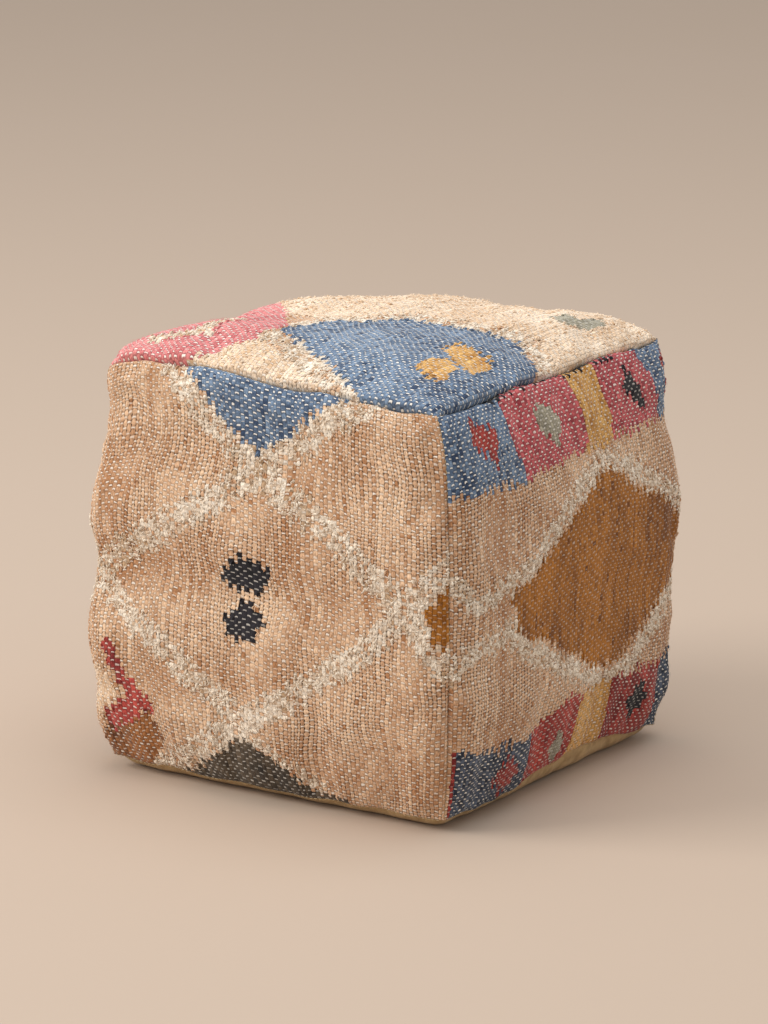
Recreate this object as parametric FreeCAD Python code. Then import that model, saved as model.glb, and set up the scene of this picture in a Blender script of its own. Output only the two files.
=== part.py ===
import FreeCAD, Part
import math
import os

from FreeCAD import Vector

# Kilim pouf: a stuffed square seat with five flat-woven panels, a canvas base that opens with a zip,
# and a lining bag of beads inside. Millimetres, +Z up, the origin on the floor under the middle.
# The front panel faces -Y and the right panel faces +X.

# Outer form of the cover
SEAM_HALF = 188.0
BASE_SEAM_Z = 12.0
TOP_SEAM_Z = 400.0
UPRIGHT_BOW = 19.0
BOW_POWER = 4
EDGE_BOW = 4.0
SIDE_BULGE = 9.0
SIDE_LEVELS = 9
CROWN_RISE = 31.0
CROWN_HALF = 198.0
CROWN_SHOULDER = 140.0
CROWN_SHOULDER_SHARE = 0.74
CROWN_STATIONS = (0.0, 0.5, 0.82, 1.0)
CROWN_RUNS = (1.0, 0.8, 0.5)
CROWN_EDGE_RISE = 3.0

# Cloths and their turned-in seam allowances
KILIM = 3.5
CANVAS = 1.2
LINING = 1.0
UPRIGHT_ALLOWANCE = 16.0
EDGE_ALLOWANCE = 14.0
SEAM_GAP = 0.2
ALLOWANCE_INSET = 0.6
MITRE_INSET = 1.5

# Rolled edge of the canvas base, and the hollow over the zip
BASE_ROLL = 12.0
ROLL_STEPS = 5
ZIP_HOLLOW_HALF_LENGTH = 164.0
ZIP_HOLLOW_HALF_WIDTH = 24.0
ZIP_HOLLOW_SLOPE = 8.0
ZIP_HOLLOW_ROOF = 6.4
ZIP_SLOT_HALF_LENGTH = 158.0
ZIP_SLOT_HALF_WIDTH = 6.0
HEM_WIDTH = 12.0

# Lining bag and its bead fill
LINING_CLEAR = 1.5
LINING_CORNER = 22.0
LINING_RIDGE = 0.05
LINING_LEVELS = 5
LINING_SHOULDER = 15.0
LINING_SHOULDER_POWER = 6
LINING_BASE_Z = 16.0
LINING_TOP_Z = 398.0
LINING_FLOOR = 1.4
LINING_HOLLOW_ROOF = 13.4
LINING_CROWN_HALVES = (150.0, 110.0, 60.0)
LINING_CROWN_CUT = 0.6
LINING_CROWN_CLEAR = 4.0
LINING_THREAD_END = 2.0
FILL_CLEAR = 0.3

# Threads
SEAM_THREAD_RADIUS = 0.6
FINE_THREAD_RADIUS = 0.4
THREAD_SIDES = 6
THREAD_INSET = 7.0
THREAD_END = 12.0
ZIP_STITCH_Y = 11.0
BAR_TACK_X = 161.0
BAR_TACK_HALF = 9.0

# Zip chain
TAPE_WIDTH = 15.0
TAPE_THICK = 0.6
TAPE_HALF_LENGTH = 163.0
TOOTH_PITCH = 4.5
TOOTH_LENGTH = 1.9
TOOTH_REACH = 1.1
TOOTH_ROOT = 3.2
TOOTH_HALF_HEIGHT = 1.1
TAPE_EDGE = 1.2
CHAIN_START = -148.0
CHAIN_END = 144.0
STOP_LENGTH = 3.0
STOP_CLEAR = 0.5

# Zip slider and its pull
SLIDER_TAIL = -7.0
SLIDER_NOSE = 7.0
SLIDER_TAIL_HALF = 4.5
SLIDER_NOSE_HALF = 5.2
SLIDER_WAIST = 1.0
SLIDER_PLATE = 1.2
SLIDER_RAIL = 0.9
SLIDER_TAPE_HALF_GAP = 0.5
SLIDER_CHANNEL_HALF = 1.4
SLIDER_POST_START = 2.6
SLIDER_POST_HALF = 0.8
SLIDER_ROUND = 1.2
BAIL_HALF_LENGTH = 4.2
BAIL_DROP = 3.6
BAIL_THICK = 1.0
BAIL_HALF_WIDTH = 1.2
PIVOT_DROP = 1.35
PULL_BAR_RADIUS = 0.8
PULL_THICK = 1.4
PULL_ARM_INNER = 2.0
PULL_HALF_WIDTH = 3.8
PULL_EYE_LENGTH = 6.0
PULL_LENGTH = 24.0
PULL_TIP_HALF_WIDTH = 3.0
PULL_HOLE_RADIUS = 1.6
PULL_DROOP = 7.0

# Heights in the zip that follow from the cloths
HEM_TOP = ZIP_HOLLOW_ROOF + 2 * CANVAS
ZIP_Z = HEM_TOP + TAPE_THICK / 2
SLIDER_X = CHAIN_END + TOOTH_LENGTH / 2 + STOP_CLEAR - SLIDER_POST_START
SLIDER_OUTSIDE = SLIDER_CHANNEL_HALF + SLIDER_PLATE
PIVOT_Z = ZIP_Z - SLIDER_OUTSIDE - PIVOT_DROP

SIDE_NAMES = ("front_panel", "right_panel", "back_panel", "left_panel")
UP = Vector(0, 0, 1)
MIDDLE = Vector(0, 0, 0)


def line(start, end):
    """A straight edge."""
    return Part.LineSegment(start, end).toShape()


def arc(start, through, end):
    """A circular edge through three points."""
    return Part.Arc(start, through, end).toShape()


def box(low, high):
    """A block between two opposite corners."""
    size = high - low
    return Part.makeBox(size.x, size.y, size.z, low)


def prism(edges, height):
    """A flat outline raised by a height."""
    return Part.Face(Part.Wire(edges)).extrude(UP * height)


def turned(shape, degrees):
    """A copy of a shape turned about the upright axis of the pouf."""
    copy = shape.copy()
    copy.rotate(MIDDLE, UP, degrees)
    return copy


def swell(z):
    """Share of the full bulge at a height: none at the two edge seams, all of it half way up."""
    share = (z - BASE_SEAM_Z) / (TOP_SEAM_Z - BASE_SEAM_Z)
    return 1 - abs(2 * share - 1) ** BOW_POWER


def corner_half(z):
    """Distance of an upright seam from the middle planes at a height."""
    return SEAM_HALF + UPRIGHT_BOW * swell(z)


def side_bow(z):
    """How far a side stands out between its two upright seams at a height."""
    return EDGE_BOW + SIDE_BULGE * swell(z)


def levels(low, high, count):
    """Heights between two limits, closer together near both ends."""
    middle = (low + high) / 2
    reach = (high - low) / 2
    return [middle - reach * math.cos(math.pi * step / (count - 1)) for step in range(count)]


def side_section(z):
    """Horizontal cut of the front panel: a bowed cloth whose ends turn in along the corner mitres."""
    half = corner_half(z)
    bow = side_bow(z)
    inward = Vector(-1, 1, 0) / math.sqrt(2)
    inboard = Vector(-1, -1, 0) / math.sqrt(2)
    corner = Vector(half - SEAM_GAP / math.sqrt(2), -half, z)
    tip = corner + inward * UPRIGHT_ALLOWANCE
    tip_inside = tip + inboard * KILIM
    inside = corner + inboard * KILIM + inward * KILIM * (1 + math.sqrt(2))
    right = [corner, tip, tip_inside, inside]
    left = [Vector(-point.x, point.y, z) for point in right]
    edges = [arc(left[0], Vector(0, -half - bow, z), right[0])]
    edges += [line(right[step], right[step + 1]) for step in range(3)]
    edges += [arc(right[3], Vector(0, -half - bow + KILIM, z), left[3])]
    edges += [line(left[step + 1], left[step]) for step in (2, 1, 0)]
    return Part.Wire(edges)


def edge_allowance(low_z):
    """Flat strip of a side panel that turns in at an edge seam, kept just inside the cloth's outline."""
    outer = SEAM_HALF - ALLOWANCE_INSET
    inner = SEAM_HALF - EDGE_ALLOWANCE
    outer_x = outer - MITRE_INSET
    inner_x = inner - MITRE_INSET
    corners = [Vector(-outer_x, -outer, low_z), Vector(outer_x, -outer, low_z)]
    corners += [Vector(inner_x, -inner, low_z), Vector(-inner_x, -inner, low_z)]
    edges = [arc(corners[0], Vector(0, -outer - EDGE_BOW, low_z), corners[1])]
    edges += [line(corners[1], corners[2])]
    edges += [arc(corners[2], Vector(0, -inner - EDGE_BOW, low_z), corners[3])]
    edges += [line(corners[3], corners[0])]
    return prism(edges, KILIM)


def front_panel():
    """Side panel in front: a loft from the base seam to the top seam, with its two edge allowances."""
    heights = levels(BASE_SEAM_Z, TOP_SEAM_Z, SIDE_LEVELS)
    cloth = Part.makeLoft([side_section(z) for z in heights], True, True)
    allowances = [edge_allowance(BASE_SEAM_Z), edge_allowance(TOP_SEAM_Z - KILIM)]
    return cloth.multiFuse(allowances).removeSplitter()


def square_outline(half, bow, z):
    """Plan outline of a square with bowed sides and sharp corners."""
    edges = []
    for quarter in range(4):
        side = arc(Vector(-half, -half, z), Vector(0, -half - bow, z), Vector(half, -half, z))
        edges.append(turned(side, 90 * quarter))
    return edges


def crown_height(place, rise):
    """Height of the crown's section at a distance from its ridge.

    A wide arc runs from the ridge to the shoulder, and a tighter one leaves it tangent down to the edge.
    """
    drop = rise * (1 - CROWN_SHOULDER_SHARE)
    radius = (CROWN_SHOULDER ** 2 + drop ** 2) / (2 * drop)
    if place <= CROWN_SHOULDER:
        return rise - radius + math.sqrt(radius ** 2 - place ** 2)
    slope = math.asin(CROWN_SHOULDER / radius)
    across = CROWN_HALF - CROWN_SHOULDER
    down = rise - drop
    turn = math.atan2(down, across) - slope
    edge_radius = math.hypot(across, down) / (2 * math.sin(turn))
    centre_x = CROWN_SHOULDER - edge_radius * math.sin(slope)
    centre_z = down - edge_radius * math.cos(slope)
    return centre_z + math.sqrt(edge_radius ** 2 - (place - centre_x) ** 2)


def crown_section(y, base_z, seat, rounded):
    """Upright cut through the block under the crown, on arcs or on straight runs just inside them."""
    rise = CROWN_EDGE_RISE + crown_height(abs(y), CROWN_RISE)
    foot = [Vector(-CROWN_HALF, y, base_z), Vector(CROWN_HALF, y, base_z)]
    shoulder_share = CROWN_SHOULDER / CROWN_HALF
    shares = (1.0, (1 + shoulder_share) / 2, shoulder_share) if rounded else CROWN_RUNS
    right = []
    for share in shares:
        place = share * CROWN_HALF
        right.append(Vector(place, y, seat + crown_height(place, rise)))
    top = Vector(0, y, seat + rise)
    left = [Vector(-point.x, y, point.z) for point in reversed(right)]
    if not rounded:
        return Part.makePolygon(foot + right + [top] + left + foot[:1])
    edges = [line(foot[0], foot[1]), line(foot[1], right[0]), arc(*right), arc(right[2], top, left[0])]
    edges += [arc(*left), line(left[2], foot[0])]
    return Part.Wire(edges)


def crown_body(base_z, drop, rounded):
    """Block under the crowned top, lofted from front to back, with its crown lowered by a drop."""
    shares = [-share for share in CROWN_STATIONS[:0:-1]] + list(CROWN_STATIONS)
    seat = TOP_SEAM_Z - drop
    sections = [crown_section(share * CROWN_HALF, base_z, seat, rounded) for share in shares]
    return Part.makeLoft(sections, True, not rounded)


def top_panel():
    """Crowned top: one thickness of kilim over a thicker rim where its allowance is folded under."""
    seat = TOP_SEAM_Z + SEAM_GAP / 2
    height = 2 * CROWN_RISE
    outside = prism(square_outline(SEAM_HALF, EDGE_BOW, seat), height)
    inside = prism(square_outline(SEAM_HALF - EDGE_ALLOWANCE, EDGE_BOW, seat), height)
    foot = TOP_SEAM_Z - CROWN_RISE
    crown = crown_body(foot, 0, rounded=True).common(outside)
    hollow = crown_body(foot, KILIM, rounded=False).common(inside)
    return crown.cut(hollow).removeSplitter()


def tray(half, floor_z, rim_z, roll):
    """Filled tray whose flat floor rolls up to an upright rim, lofted through plan outlines."""
    sections = []
    for step in range(ROLL_STEPS):
        angle = math.pi / 2 * step / (ROLL_STEPS - 1)
        z = floor_z + (rim_z - floor_z) * (1 - math.cos(angle))
        inset = roll * (1 - math.sin(angle))
        sections.append(Part.Wire(square_outline(half - inset, EDGE_BOW, z)))
    return Part.makeLoft(sections, True, True)


def zip_hollow(roof, spread):
    """Hollow that lifts the base cloth over the zip: a long block with four sloping sides."""
    sections = []
    for z, slope in ((-ZIP_HOLLOW_SLOPE, 2 * ZIP_HOLLOW_SLOPE), (roof, 0.0)):
        x = ZIP_HOLLOW_HALF_LENGTH + spread + slope
        y = ZIP_HOLLOW_HALF_WIDTH + spread + slope
        corners = [Vector(-x, -y, z), Vector(x, -y, z), Vector(x, y, z), Vector(-x, y, z)]
        sections.append(Part.makePolygon(corners + corners[:1]))
    return Part.makeLoft(sections, True, True)


def base_cloths():
    """Front and rear halves of the canvas base, with rolled edges, folded zip hems and a zip slot."""
    rim_z = BASE_SEAM_Z - SEAM_GAP / 2
    shelf_z = rim_z - CANVAS
    outside = tray(SEAM_HALF, 0, rim_z, BASE_ROLL).cut(zip_hollow(ZIP_HOLLOW_ROOF, 0))
    room = tray(SEAM_HALF - CANVAS, CANVAS, shelf_z, BASE_ROLL - CANVAS)
    room = room.cut(zip_hollow(ZIP_HOLLOW_ROOF + CANVAS, CANVAS))
    mouth = prism(square_outline(SEAM_HALF - EDGE_ALLOWANCE, EDGE_BOW, shelf_z), 2 * CANVAS)
    cloth = outside.cut(room).cut(mouth)
    slot_corner = Vector(ZIP_SLOT_HALF_LENGTH, ZIP_SLOT_HALF_WIDTH, BASE_SEAM_Z)
    slot = box(Vector(-slot_corner.x, -slot_corner.y, 0), slot_corner)
    reach = SEAM_HALF + 2 * EDGE_BOW
    front_side = box(Vector(-reach, -reach, 0), Vector(reach, -SEAM_GAP / 2, BASE_SEAM_Z))
    hem_end = ZIP_SLOT_HALF_WIDTH + HEM_WIDTH
    hem_low = Vector(-ZIP_SLOT_HALF_LENGTH, -hem_end, HEM_TOP - CANVAS)
    hem = box(hem_low, Vector(ZIP_SLOT_HALF_LENGTH, -ZIP_SLOT_HALF_WIDTH, HEM_TOP))
    halves = []
    for degrees in (0, 180):
        half = cloth.common(turned(front_side, degrees)).cut(slot)
        halves.append(half.fuse(turned(hem, degrees)).removeSplitter())
    return halves


def lining_half(z):
    """Half width of the lining bag at a height, drawn in near both ends to pass the seam allowances."""
    share = (z - LINING_BASE_Z) / (LINING_TOP_Z - LINING_BASE_Z)
    shoulder = LINING_SHOULDER * abs(2 * share - 1) ** LINING_SHOULDER_POWER
    return corner_half(z) - KILIM - LINING_CLEAR - shoulder


def lining_points(half, cut, z):
    """Plan corners of the lining: a square with cut-off corners, and sides that come to a blunt ridge."""
    flat = half - cut
    side = [Vector(-flat, -half, z), Vector(0, -half - LINING_RIDGE * flat, z), Vector(flat, -half, z)]
    points = []
    for quarter in range(4):
        turn = FreeCAD.Rotation(UP, 90 * quarter)
        points += [turn.multVec(point) for point in side]
    return points


def stacked_solid(rings):
    """Solid between stacked rings of corners whose facing runs are parallel, so that every face is flat."""
    loops = [rings[0], rings[-1]]
    for lower, upper in zip(rings, rings[1:]):
        for step in range(len(lower)):
            after = (step + 1) % len(lower)
            loops.append([lower[step], lower[after], upper[after], upper[step]])
    faces = [Part.Face(Part.makePolygon(loop + loop[:1])) for loop in loops]
    return Part.Solid(Part.Shell(faces))


def lining_form(inset):
    """Filled form of the lining bag, made smaller all round by an inset: rolled base, wall and crown."""
    rings = []
    floor_z = LINING_FLOOR + inset
    base_half = lining_half(LINING_BASE_Z) - inset
    for step in range(ROLL_STEPS - 1):
        angle = math.pi / 2 * step / (ROLL_STEPS - 1)
        half = base_half - (BASE_ROLL - inset) * (1 - math.sin(angle))
        rings.append((half, LINING_CORNER, floor_z + (LINING_BASE_Z - floor_z) * (1 - math.cos(angle))))
    for z in levels(LINING_BASE_Z, LINING_TOP_Z, LINING_LEVELS):
        rings.append((lining_half(z) - inset, LINING_CORNER, z))
    drop = KILIM + LINING_CROWN_CLEAR + inset
    for half in LINING_CROWN_HALVES:
        z = TOP_SEAM_Z + crown_height(half, CROWN_RISE) - drop
        rings.append((half, LINING_CROWN_CUT * half, z))
    bag = stacked_solid([lining_points(half, cut, z) for half, cut, z in rings])
    return bag.cut(zip_hollow(LINING_HOLLOW_ROOF + inset, CANVAS + LINING_CLEAR + inset))


def lining_parts():
    """Top, wall and base of the lining bag: its thin shell parted at the two lining seams."""
    shell = lining_form(0).cut(lining_form(LINING))
    gap = SEAM_GAP / 2
    spans = {"liner_base": (0, LINING_BASE_Z - gap), "liner_wall": (LINING_BASE_Z + gap, LINING_TOP_Z - gap)}
    spans["liner_top"] = (LINING_TOP_Z + gap, TOP_SEAM_Z + CROWN_RISE)
    reach = SEAM_HALF + 2 * UPRIGHT_BOW
    parts = {}
    for name, (low, high) in spans.items():
        parts[name] = shell.common(box(Vector(-reach, -reach, low), Vector(reach, reach, high)))
    return parts


def lining_threads():
    """Threads of the two lining seams, one along each straight run of the bag's sides."""
    threads = []
    for z in (LINING_BASE_Z, LINING_TOP_Z):
        points = lining_points(lining_half(z) - LINING / 2, LINING_CORNER, z)
        for step, start in enumerate(points):
            end = points[(step + 1) % len(points)]
            trim = (end - start).normalize() * LINING_THREAD_END
            threads.append(straight_thread(start + trim, end - trim, FINE_THREAD_RADIUS))
    return threads


def thread_end(start, across, radius):
    """Six-sided end of a thread, in the plane of one direction across it and the upright."""
    points = []
    for corner in range(THREAD_SIDES):
        angle = 2 * math.pi * corner / THREAD_SIDES
        points.append(start + across * radius * math.cos(angle) + UP * radius * math.sin(angle))
    return Part.Face(Part.makePolygon(points + points[:1]))


def straight_thread(start, end, radius):
    """Level thread along a straight line."""
    across = UP.cross(end - start).normalize()
    return thread_end(start, across, radius).extrude(end - start)


def bowed_thread(reach, half, bow, z, radius):
    """Level thread along the front, bowed out in the middle: its end turned about the bow's centre."""
    start = Vector(-reach, -half, z)
    bow_radius = (reach ** 2 + bow ** 2) / (2 * bow)
    centre = Vector(0, -half - bow + bow_radius, z)
    angle = 2 * math.degrees(math.asin(reach / bow_radius))
    return thread_end(start, (start - centre).normalize(), radius).revolve(centre, UP, angle)


def thread_ring(half, bow, z, radius, end):
    """Four threads of one square seam, one along each side, each stopping short of the corners."""
    thread = bowed_thread(half - end, half, bow, z, radius)
    return [turned(thread, 90 * quarter) for quarter in range(4)]


def upright_threads():
    """Threads of the four upright seams, in the mitre planes between the turned-in allowances."""
    reach = (TOP_SEAM_Z - BASE_SEAM_Z) / 2 - EDGE_ALLOWANCE
    end_half = corner_half(TOP_SEAM_Z - EDGE_ALLOWANCE)
    place = (end_half - THREAD_INSET / math.sqrt(2)) * math.sqrt(2)
    bow = (SEAM_HALF + UPRIGHT_BOW - end_half) * math.sqrt(2)
    thread = bowed_thread(reach, place, bow, 0, SEAM_THREAD_RADIUS)
    thread.rotate(MIDDLE, Vector(0, 1, 0), 90)
    thread.translate(UP * (TOP_SEAM_Z + BASE_SEAM_Z) / 2)
    return [turned(thread, 45 + 90 * quarter) for quarter in range(4)]


def zip_stitches():
    """Stitch lines that hold the tapes to the hems, and a bar tack across each end of the zip."""
    threads = []
    for side in (-1, 1):
        reach = ZIP_SLOT_HALF_LENGTH - THREAD_INSET
        start = Vector(-reach, side * ZIP_STITCH_Y, HEM_TOP)
        threads.append(straight_thread(start, start + Vector(2 * reach, 0, 0), FINE_THREAD_RADIUS))
        tack = Vector(side * BAR_TACK_X, -BAR_TACK_HALF, HEM_TOP)
        threads.append(straight_thread(tack, tack + Vector(0, 2 * BAR_TACK_HALF, 0), FINE_THREAD_RADIUS))
    return threads


def zip_tape():
    """Front tape of the zip, a flat strip on the folded hem."""
    low = Vector(-TAPE_HALF_LENGTH, -TAPE_EDGE - TAPE_WIDTH, HEM_TOP)
    return box(low, Vector(TAPE_HALF_LENGTH, -TAPE_EDGE, HEM_TOP + TAPE_THICK))


def tooth(x, length, reach):
    """One tooth on the front tape: jaws clamped above and below the tape's edge, and a nose past it."""
    nose = TOOTH_HALF_HEIGHT / 2
    tape = TAPE_THICK / 2
    side = [(-TOOTH_ROOT, -TOOTH_HALF_HEIGHT), (reach, -nose), (reach, nose)]
    side += [(-TOOTH_ROOT, TOOTH_HALF_HEIGHT), (-TOOTH_ROOT, tape), (-TAPE_EDGE, tape)]
    side += [(-TAPE_EDGE, -tape), (-TOOTH_ROOT, -tape)]
    points = [Vector(x - length / 2, y, ZIP_Z + z) for y, z in side]
    outline = Part.makePolygon(points + points[:1])
    return Part.Face(outline).extrude(Vector(length, 0, 0))


def tooth_row(first_x):
    """Row of teeth at the chain's pitch, from a first place to the end of the chain."""
    count = int((CHAIN_END - first_x) / TOOTH_PITCH) + 1
    return [tooth(first_x + TOOTH_PITCH * step, TOOTH_LENGTH, TOOTH_REACH) for step in range(count)]


def zip_stops():
    """Two top stops past the slider, and one bottom stop across both tapes."""
    top_x = SLIDER_X + SLIDER_NOSE + STOP_CLEAR + STOP_LENGTH / 2
    front_stop = tooth(top_x, STOP_LENGTH, -STOP_CLEAR)
    bottom_x = CHAIN_START - TOOTH_LENGTH - STOP_CLEAR - STOP_LENGTH
    bottom_half = tooth(bottom_x + STOP_LENGTH / 2, STOP_LENGTH, 0)
    bottom = bottom_half.fuse(bottom_half.mirror(MIDDLE, Vector(0, 1, 0))).removeSplitter()
    return [front_stop, front_stop.mirror(MIDDLE, Vector(0, 1, 0))], bottom


def slider_outline(inset, z):
    """Plan outline of the slider: a narrow tail and two rounded shoulders at the nose."""
    tail = SLIDER_TAIL_HALF - inset
    nose = SLIDER_NOSE_HALF - inset
    shoulder_x = SLIDER_NOSE - SLIDER_ROUND
    half = [(SLIDER_TAIL, 0), (SLIDER_TAIL, tail), (-SLIDER_WAIST, tail), (SLIDER_WAIST, nose)]
    half += [(shoulder_x, nose), (SLIDER_NOSE, nose - SLIDER_ROUND), (SLIDER_NOSE, 0)]
    upper = [Vector(SLIDER_X + x, y, z) for x, y in half]
    lower = [Vector(point.x, -point.y, z) for point in reversed(upper[1:-1])]
    return Part.makePolygon(upper + lower + upper[:1]).Edges


def slider_post():
    """Wedge at the nose that parts the two rows of teeth and ties the two plates together."""
    z = ZIP_Z - SLIDER_CHANNEL_HALF
    start = Vector(SLIDER_X + SLIDER_POST_START, 0, z)
    front = Vector(SLIDER_X + SLIDER_NOSE - SLIDER_ROUND, SLIDER_POST_HALF, z)
    back = Vector(front.x, -front.y, z)
    cap = Vector(SLIDER_X + SLIDER_NOSE, 0, z)
    return prism([line(start, front), arc(front, cap, back), line(back, start)], 2 * SLIDER_CHANNEL_HALF)


def zip_slider():
    """Slider: two plates with side rails round a Y-shaped channel, and a bail under the outer plate."""
    outside = prism(slider_outline(0, ZIP_Z - SLIDER_OUTSIDE), 2 * SLIDER_OUTSIDE)
    channel = prism(slider_outline(SLIDER_RAIL, ZIP_Z - SLIDER_CHANNEL_HALF), 2 * SLIDER_CHANNEL_HALF)
    reach = 2 * SLIDER_NOSE
    gap = Vector(reach, reach, SLIDER_TAPE_HALF_GAP)
    centre = Vector(SLIDER_X, 0, ZIP_Z)
    body = outside.cut(channel).cut(box(centre - gap, centre + gap)).fuse(slider_post())
    plate_z = ZIP_Z - SLIDER_OUTSIDE
    bail = bail_loop(plate_z)
    return body.fuse(bail).removeSplitter()


def bail_loop(plate_z):
    """Bent strip under the outer plate that the pull's bar turns in."""
    loops = []
    for thick in (0, BAIL_THICK):
        half = BAIL_HALF_LENGTH - thick
        drop = BAIL_DROP - thick
        foot = plate_z + SLIDER_PLATE / 2
        start = Vector(SLIDER_X - half, -BAIL_HALF_WIDTH, foot)
        end = Vector(SLIDER_X + half, -BAIL_HALF_WIDTH, foot)
        start_bend = Vector(start.x, start.y, plate_z - drop / 2)
        end_bend = Vector(end.x, end.y, plate_z - drop / 2)
        dip = arc(start_bend, Vector(SLIDER_X, start.y, plate_z - drop), end_bend)
        outline = Part.Wire([line(start, start_bend), dip, line(end_bend, end), line(end, start)])
        loops.append(Part.Face(outline).extrude(Vector(0, 2 * BAIL_HALF_WIDTH, 0)))
    strip = loops[0].cut(loops[1])
    below_plate = box(Vector(SLIDER_X - 2 * BAIL_HALF_LENGTH, -2 * BAIL_HALF_WIDTH, 0),
                      Vector(SLIDER_X + 2 * BAIL_HALF_LENGTH, 2 * BAIL_HALF_WIDTH, plate_z))
    return strip.common(below_plate)


def zip_pull():
    """Pull: a round bar in the bail, two arms past it, and a tapered tab with a hole, drooping at rest."""
    pivot = Vector(SLIDER_X, 0, PIVOT_Z)
    low_z = PIVOT_Z - PULL_THICK / 2
    neck = SLIDER_X - PULL_EYE_LENGTH
    tip = SLIDER_X - PULL_LENGTH
    half = [(SLIDER_X, PULL_HALF_WIDTH), (neck, PULL_HALF_WIDTH)]
    half += [(tip + PULL_TIP_HALF_WIDTH, PULL_TIP_HALF_WIDTH)]
    upper = [Vector(x, y, low_z) for x, y in half]
    lower = [Vector(point.x, -point.y, low_z) for point in upper]
    edges = [line(upper[0], upper[1]), line(upper[1], upper[2])]
    edges += [arc(upper[2], Vector(tip, 0, low_z), lower[2])]
    edges += [line(lower[2], lower[1]), line(lower[1], lower[0]), line(lower[0], upper[0])]
    tab = prism(edges, PULL_THICK)
    eye_end = Vector(SLIDER_X + PULL_THICK, PULL_ARM_INNER, low_z + PULL_THICK)
    eye = box(Vector(neck, -PULL_ARM_INNER, low_z), eye_end)
    hole_place = Vector(tip + 2 * PULL_TIP_HALF_WIDTH, 0, low_z)
    hole = Part.makeCylinder(PULL_HOLE_RADIUS, PULL_THICK, hole_place)
    bar_start = Vector(SLIDER_X, -PULL_HALF_WIDTH, PIVOT_Z)
    bar = Part.makeCylinder(PULL_BAR_RADIUS, 2 * PULL_HALF_WIDTH, bar_start, Vector(0, 1, 0))
    pull = tab.cut(eye).cut(hole).fuse(bar).removeSplitter()
    pull.rotate(pivot, Vector(0, -1, 0), PULL_DROOP)
    return pull


def build():
    """Every piece of the pouf by the name of its node."""
    nodes = {}
    front = front_panel()
    for quarter, name in enumerate(SIDE_NAMES):
        nodes[name] = turned(front, 90 * quarter)
    nodes["top_panel"] = top_panel()
    nodes["base_cloth_front"], nodes["base_cloth_rear"] = base_cloths()
    nodes.update(lining_parts())
    nodes["bead_fill"] = lining_form(LINING + FILL_CLEAR)
    seam_half = SEAM_HALF - THREAD_INSET
    for name, z in (("top_seam_thread", TOP_SEAM_Z), ("base_seam_thread", BASE_SEAM_Z)):
        nodes[name] = Part.makeCompound(thread_ring(seam_half, EDGE_BOW, z, SEAM_THREAD_RADIUS, THREAD_END))
    nodes["upright_seam_threads"] = Part.makeCompound(upright_threads())
    nodes["liner_seam_threads"] = Part.makeCompound(lining_threads())
    nodes["zip_stitches"] = Part.makeCompound(zip_stitches())
    nodes["zip_tape_front"] = zip_tape()
    nodes["zip_tape_rear"] = turned(zip_tape(), 180)
    rear_teeth = [piece.mirror(MIDDLE, Vector(0, 1, 0)) for piece in tooth_row(CHAIN_START + TOOTH_PITCH / 2)]
    nodes["zip_teeth_front"] = Part.makeCompound(tooth_row(CHAIN_START))
    nodes["zip_teeth_rear"] = Part.makeCompound(rear_teeth)
    top_stops, nodes["zip_bottom_stop"] = zip_stops()
    nodes["zip_top_stops"] = Part.makeCompound(top_stops)
    nodes["zip_slider"] = zip_slider()
    nodes["zip_pull"] = zip_pull()
    return nodes


os.makedirs("parts", exist_ok=True)
for node_name, shape in build().items():
    solids = shape.Solids
    shape.exportStep(os.path.join("parts", node_name + ".step"))
    print(node_name, len(solids), "solids", shape.isValid(), round(shape.Volume), "mm3", shape.BoundBox)
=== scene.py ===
import logging
import math
from dataclasses import asdict, dataclass
from enum import Enum
from functools import partial, reduce

import bpy
import numpy as np
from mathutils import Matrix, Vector


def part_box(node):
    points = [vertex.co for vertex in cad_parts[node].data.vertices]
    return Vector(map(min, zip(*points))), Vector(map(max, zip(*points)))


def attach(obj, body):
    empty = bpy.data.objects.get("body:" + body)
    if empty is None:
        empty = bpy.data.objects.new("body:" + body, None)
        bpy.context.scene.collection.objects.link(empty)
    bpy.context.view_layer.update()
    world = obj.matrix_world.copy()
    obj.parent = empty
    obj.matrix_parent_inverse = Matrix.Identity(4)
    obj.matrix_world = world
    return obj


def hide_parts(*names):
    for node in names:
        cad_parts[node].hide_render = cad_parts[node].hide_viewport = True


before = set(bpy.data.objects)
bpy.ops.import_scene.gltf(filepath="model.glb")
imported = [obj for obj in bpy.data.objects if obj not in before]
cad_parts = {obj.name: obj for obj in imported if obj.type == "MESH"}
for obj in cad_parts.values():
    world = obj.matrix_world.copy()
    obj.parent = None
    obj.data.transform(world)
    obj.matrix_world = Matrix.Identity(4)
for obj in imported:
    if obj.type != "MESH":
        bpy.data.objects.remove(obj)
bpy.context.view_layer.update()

LOG = logging.getLogger("kilim_pouf")
BODY = "cover"
BAKE_MAP = "OFBake"
YARN_COLOUR = "yarn"
WEAVE_SHARES = "weave"
MM = 0.001
TINY = 1e-12
TURN = 2 * math.pi
TUBE_SIDES = 4

Array = np.ndarray
Random = np.random.Generator
Piece = bpy.types.Object
Material = bpy.types.Material
Socket = bpy.types.NodeSocket
Point = tuple[float, float]
Place = tuple[float, float, float]
Colour = tuple[float, float, float]

UP = np.array([0.0, 0.0, 1.0])
MIDDLE: Place = (0.0, 0.0, 0.2)
CORNER_SIGNS = ((-1, -1), (1, -1), (1, 1), (-1, 1))
UNIT_SQUARE = np.array([[0, 0], [1, 0], [1, 1], [0, 1]])


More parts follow.
